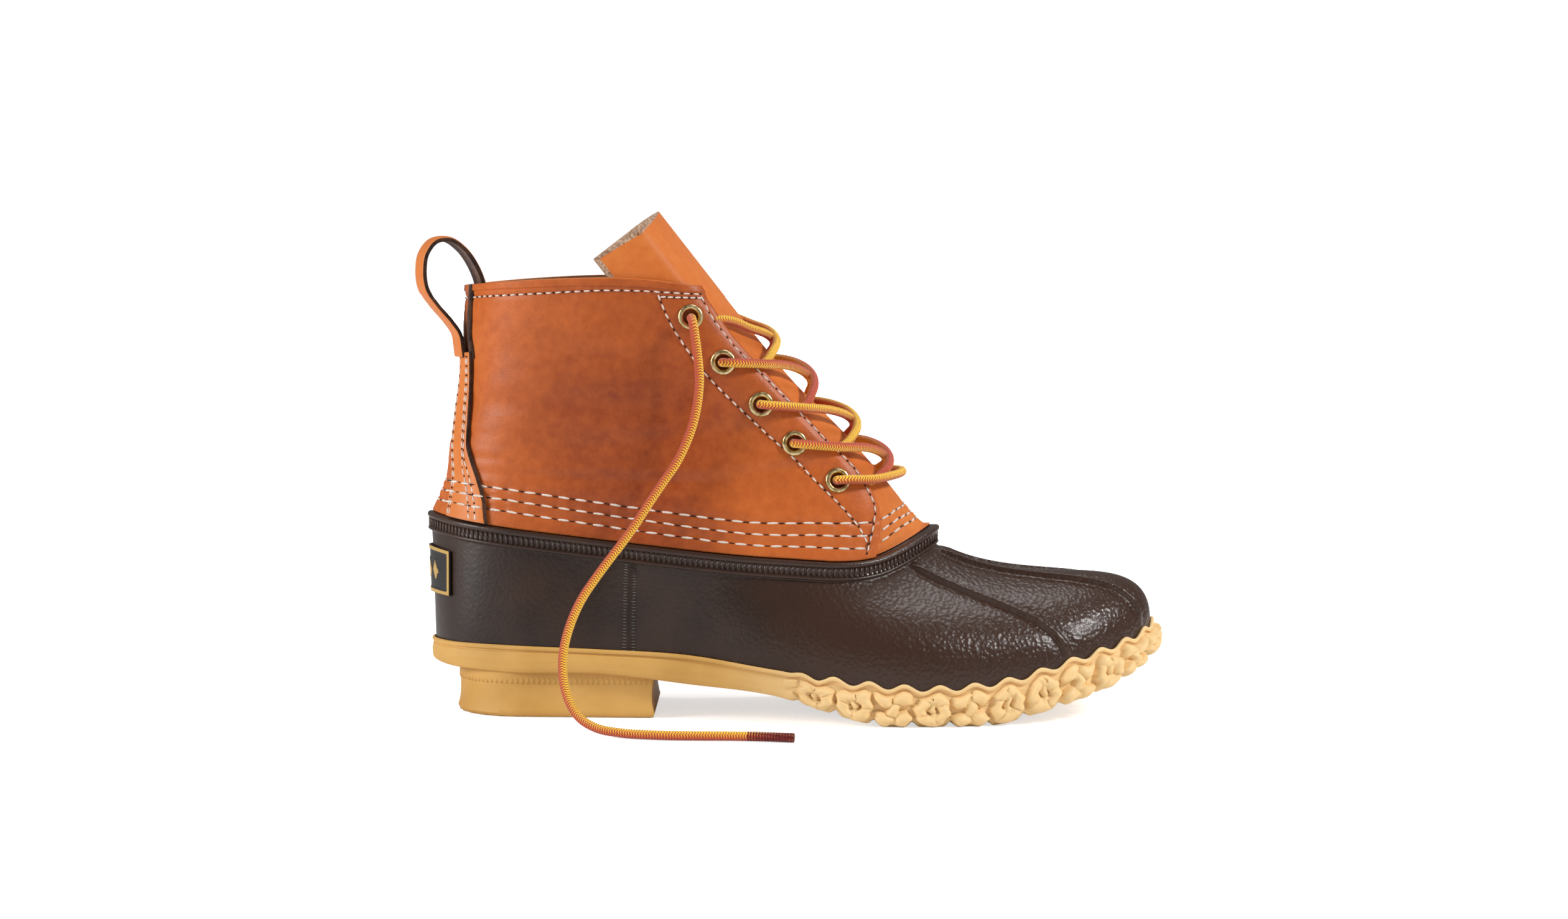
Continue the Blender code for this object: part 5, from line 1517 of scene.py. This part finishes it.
# stitching: lines of fine stitches as station and section, with the pitch they are sewn at
fineLines = (
    (0.0039, ((0.0, 5.53), (1.31, 5.54), (1.80, 5.56), (2.34, 5.59), (3.22, 5.62), (3.90, 5.66))),
    (0.0040, ((3.24, 5.60), (3.31, 5.13), (3.34, 4.63), (3.34, 4.14), (3.37, 3.68), (3.41, 3.18),
              (3.46, 2.61), (3.51, 1.92), (3.59, 1.41), (3.70, 0.98), (3.87, 0.50))),
    (0.0040, ((3.90, 5.66), (3.87, 5.29), (3.89, 4.95), (3.89, 4.61), (3.92, 4.05), (3.95, 3.58),
              (3.96, 3.18), (3.96, 2.72), (3.96, 2.22), (3.95, 1.76), (3.95, 1.26), (3.92, 1.00),
              (3.89, 0.56), (3.88, 0.30))),
    (0.0030, ((3.26, 5.53), (3.50, 5.55), (3.72, 5.57), (3.90, 5.58))),
)
stitching = {"stripShares": (-0.72, -0.52, 0.52, 0.72), "stripPitch": 0.0038,
             "facingEnd": 3.93, "tongueStart": 4.1}


def heavySet(number, shift, mirror, settings):
    # a row of heavy stitches or of the painted shade dots at their holes, half a pitch apart,
    # without the facing's edge
    pitch = upper["stitchPitch"]
    travel = np.arange(0.0, footRun[-1], pitch) + shift * pitch
    stations = np.interp(travel, footRun, footStations)
    onTongue = stations > settings["tongueStart"]
    stations = stations[onTongue | (stations < settings["facingEnd"])]
    sections = rowSection(stations, number)
    depth = np.where(stations > settings["tongueStart"], -boot["leatherWall"] - boot["tongueGap"],
                     0.0)
    onStrip = np.abs(stations - stripPlace(sections, 0.0)) < 0.27
    raised = 0.0 if mirror else boot["stripGap"] + boot["stripWall"] - 0.0001
    points = leatherOffset(stations, sections, depth + np.where(onStrip, raised, -0.0002))
    ahead = unit(leatherSkin(stations + 0.01, rowSection(stations + 0.01, number))
                 - leatherSkin(stations - 0.01, rowSection(stations - 0.01, number)))
    flip = np.array([1.0, -1.0 if mirror else 1.0, 1.0])
    return points * flip, ahead * flip, leatherNormal(stations, sections) * flip


def makeStitches(settings):
    lines = [(line, pitch, -0.00005, mirror) for pitch, line in fineLines
             for mirror in (False, True)]
    levels = np.linspace(0.12, 4.25, 30)
    lines += [(np.stack([stripPlace(levels, share), levels], axis=1), settings["stripPitch"],
               boot["stripGap"] + boot["stripWall"] - 0.0002, False)
              for share in settings["stripShares"]]
    fine, holes = [], []
    for line in lines:
        points, ahead, out, pitch = surfaceLine(*line)
        fine.append((points, ahead, out))
        holes.append((points + ahead * pitch / 2, ahead, out))
    light = repeated("fineStitches", ballTree, *gathered(fine), paleThread,
                     0.0026, 0.00075, 0.0007, 0.10, 5)
    # the dark dots half a pitch from each fine stitch are painted shade in the needle holes
    dark = repeated("needleHoleShade", ballTree, *gathered(holes), holeShade,
                    0.0010, 0.0009, 0.0004, 0.0, 1)
    heavy, shadeMarks = (gathered([heavySet(number, shift, mirror, settings) for number in range(3)
                              for mirror in (False, True)]) for shift in (0.5, 0.0))
    thick = repeated("heavyStitches", ballTree, *heavy, paleThread,
                     0.0050, 0.0010, 0.0011, 0.06, 9)
    # the dark dots between the heavy stitches are painted shade in their holes
    heavyShadeDots = repeated("heavyHoleShade", ballTree, *shadeMarks, holeShade, 0.0027, 0.0006, 0.0004, 0.0, 2)
    return joined("stitches", [light, thick]), joined("stitchHoleShade", [dark, heavyShadeDots])


threads, threadHoleShade = makeStitches(stitching)
settle(threads, "lace_braid")
settle(threadHoleShade, "leather")
print("stitches done")


# floor and light
studio = {"world": 0.26, "worldSeen": 0.80, "floorTone": 0.93, "aim": (0.07, 0.0, 0.09),
          "lamps": (("leftLight", (-1.15, -0.50, 0.55), 0.55, 13.5),
                    ("rightLight", (1.10, -0.50, 0.85), 0.25, 12.5),
                    ("topLight", (0.30, 0.20, 1.1), 0.4, 3.0))}


def makeStudio(settings):
    bpy.ops.mesh.primitive_plane_add(size=12.0, location=(0.0, 2.0, -0.0001))
    floor = bpy.context.active_object
    floor.name = "studioFloor"
    made, tree, shader = newMaterial("paleFloor")
    # seen by the camera the floor is lifted to the white of the photo's background
    seen = tree.nodes.new("ShaderNodeLightPath").outputs["Is Camera Ray"]
    far = addNode(tree, "ShaderNodeSeparateXYZ", Vector=objectPlace(tree)).outputs["Y"]
    lift = calc(tree, "MULTIPLY_ADD", calc(tree, "ABSOLUTE", calc(tree, "ADD", far, 2.0)),
                1.2, 0.5)
    white = (1.0, 1.0, 1.0, 1.0)
    fill(tree, shader, {
        "Base Color": (*[settings["floorTone"]] * 3, 1.0), "Roughness": 0.9,
        "Specular IOR Level": 0.0, "Emission Color": white,
        "Emission Strength": calc(tree, "MULTIPLY", seen, calc(tree, "MAXIMUM", lift, 0.62))})
    floor.data.materials.append(made)
    world = bpy.data.worlds.new("studio")
    world.use_nodes = True
    sky = world.node_tree
    direct = sky.nodes.new("ShaderNodeLightPath").outputs["Is Camera Ray"]
    strength = calc(sky, "MULTIPLY_ADD", direct, settings["worldSeen"], settings["world"])
    fill(sky, sky.nodes["Background"], {"Color": white, "Strength": strength})
    scene.world = world
    for name, spot, size, power in settings["lamps"]:
        data = bpy.data.lights.new(name, "AREA")
        data.size, data.energy = size, power
        lamp = added(name, data)
        lamp.location = spot
        aim = Vector(settings["aim"]) - Vector(spot)
        lamp.rotation_euler = aim.to_track_quat("-Z", "Y").to_euler()
    scene.view_settings.view_transform = "Standard"


makeStudio(studio)
print("studio done")
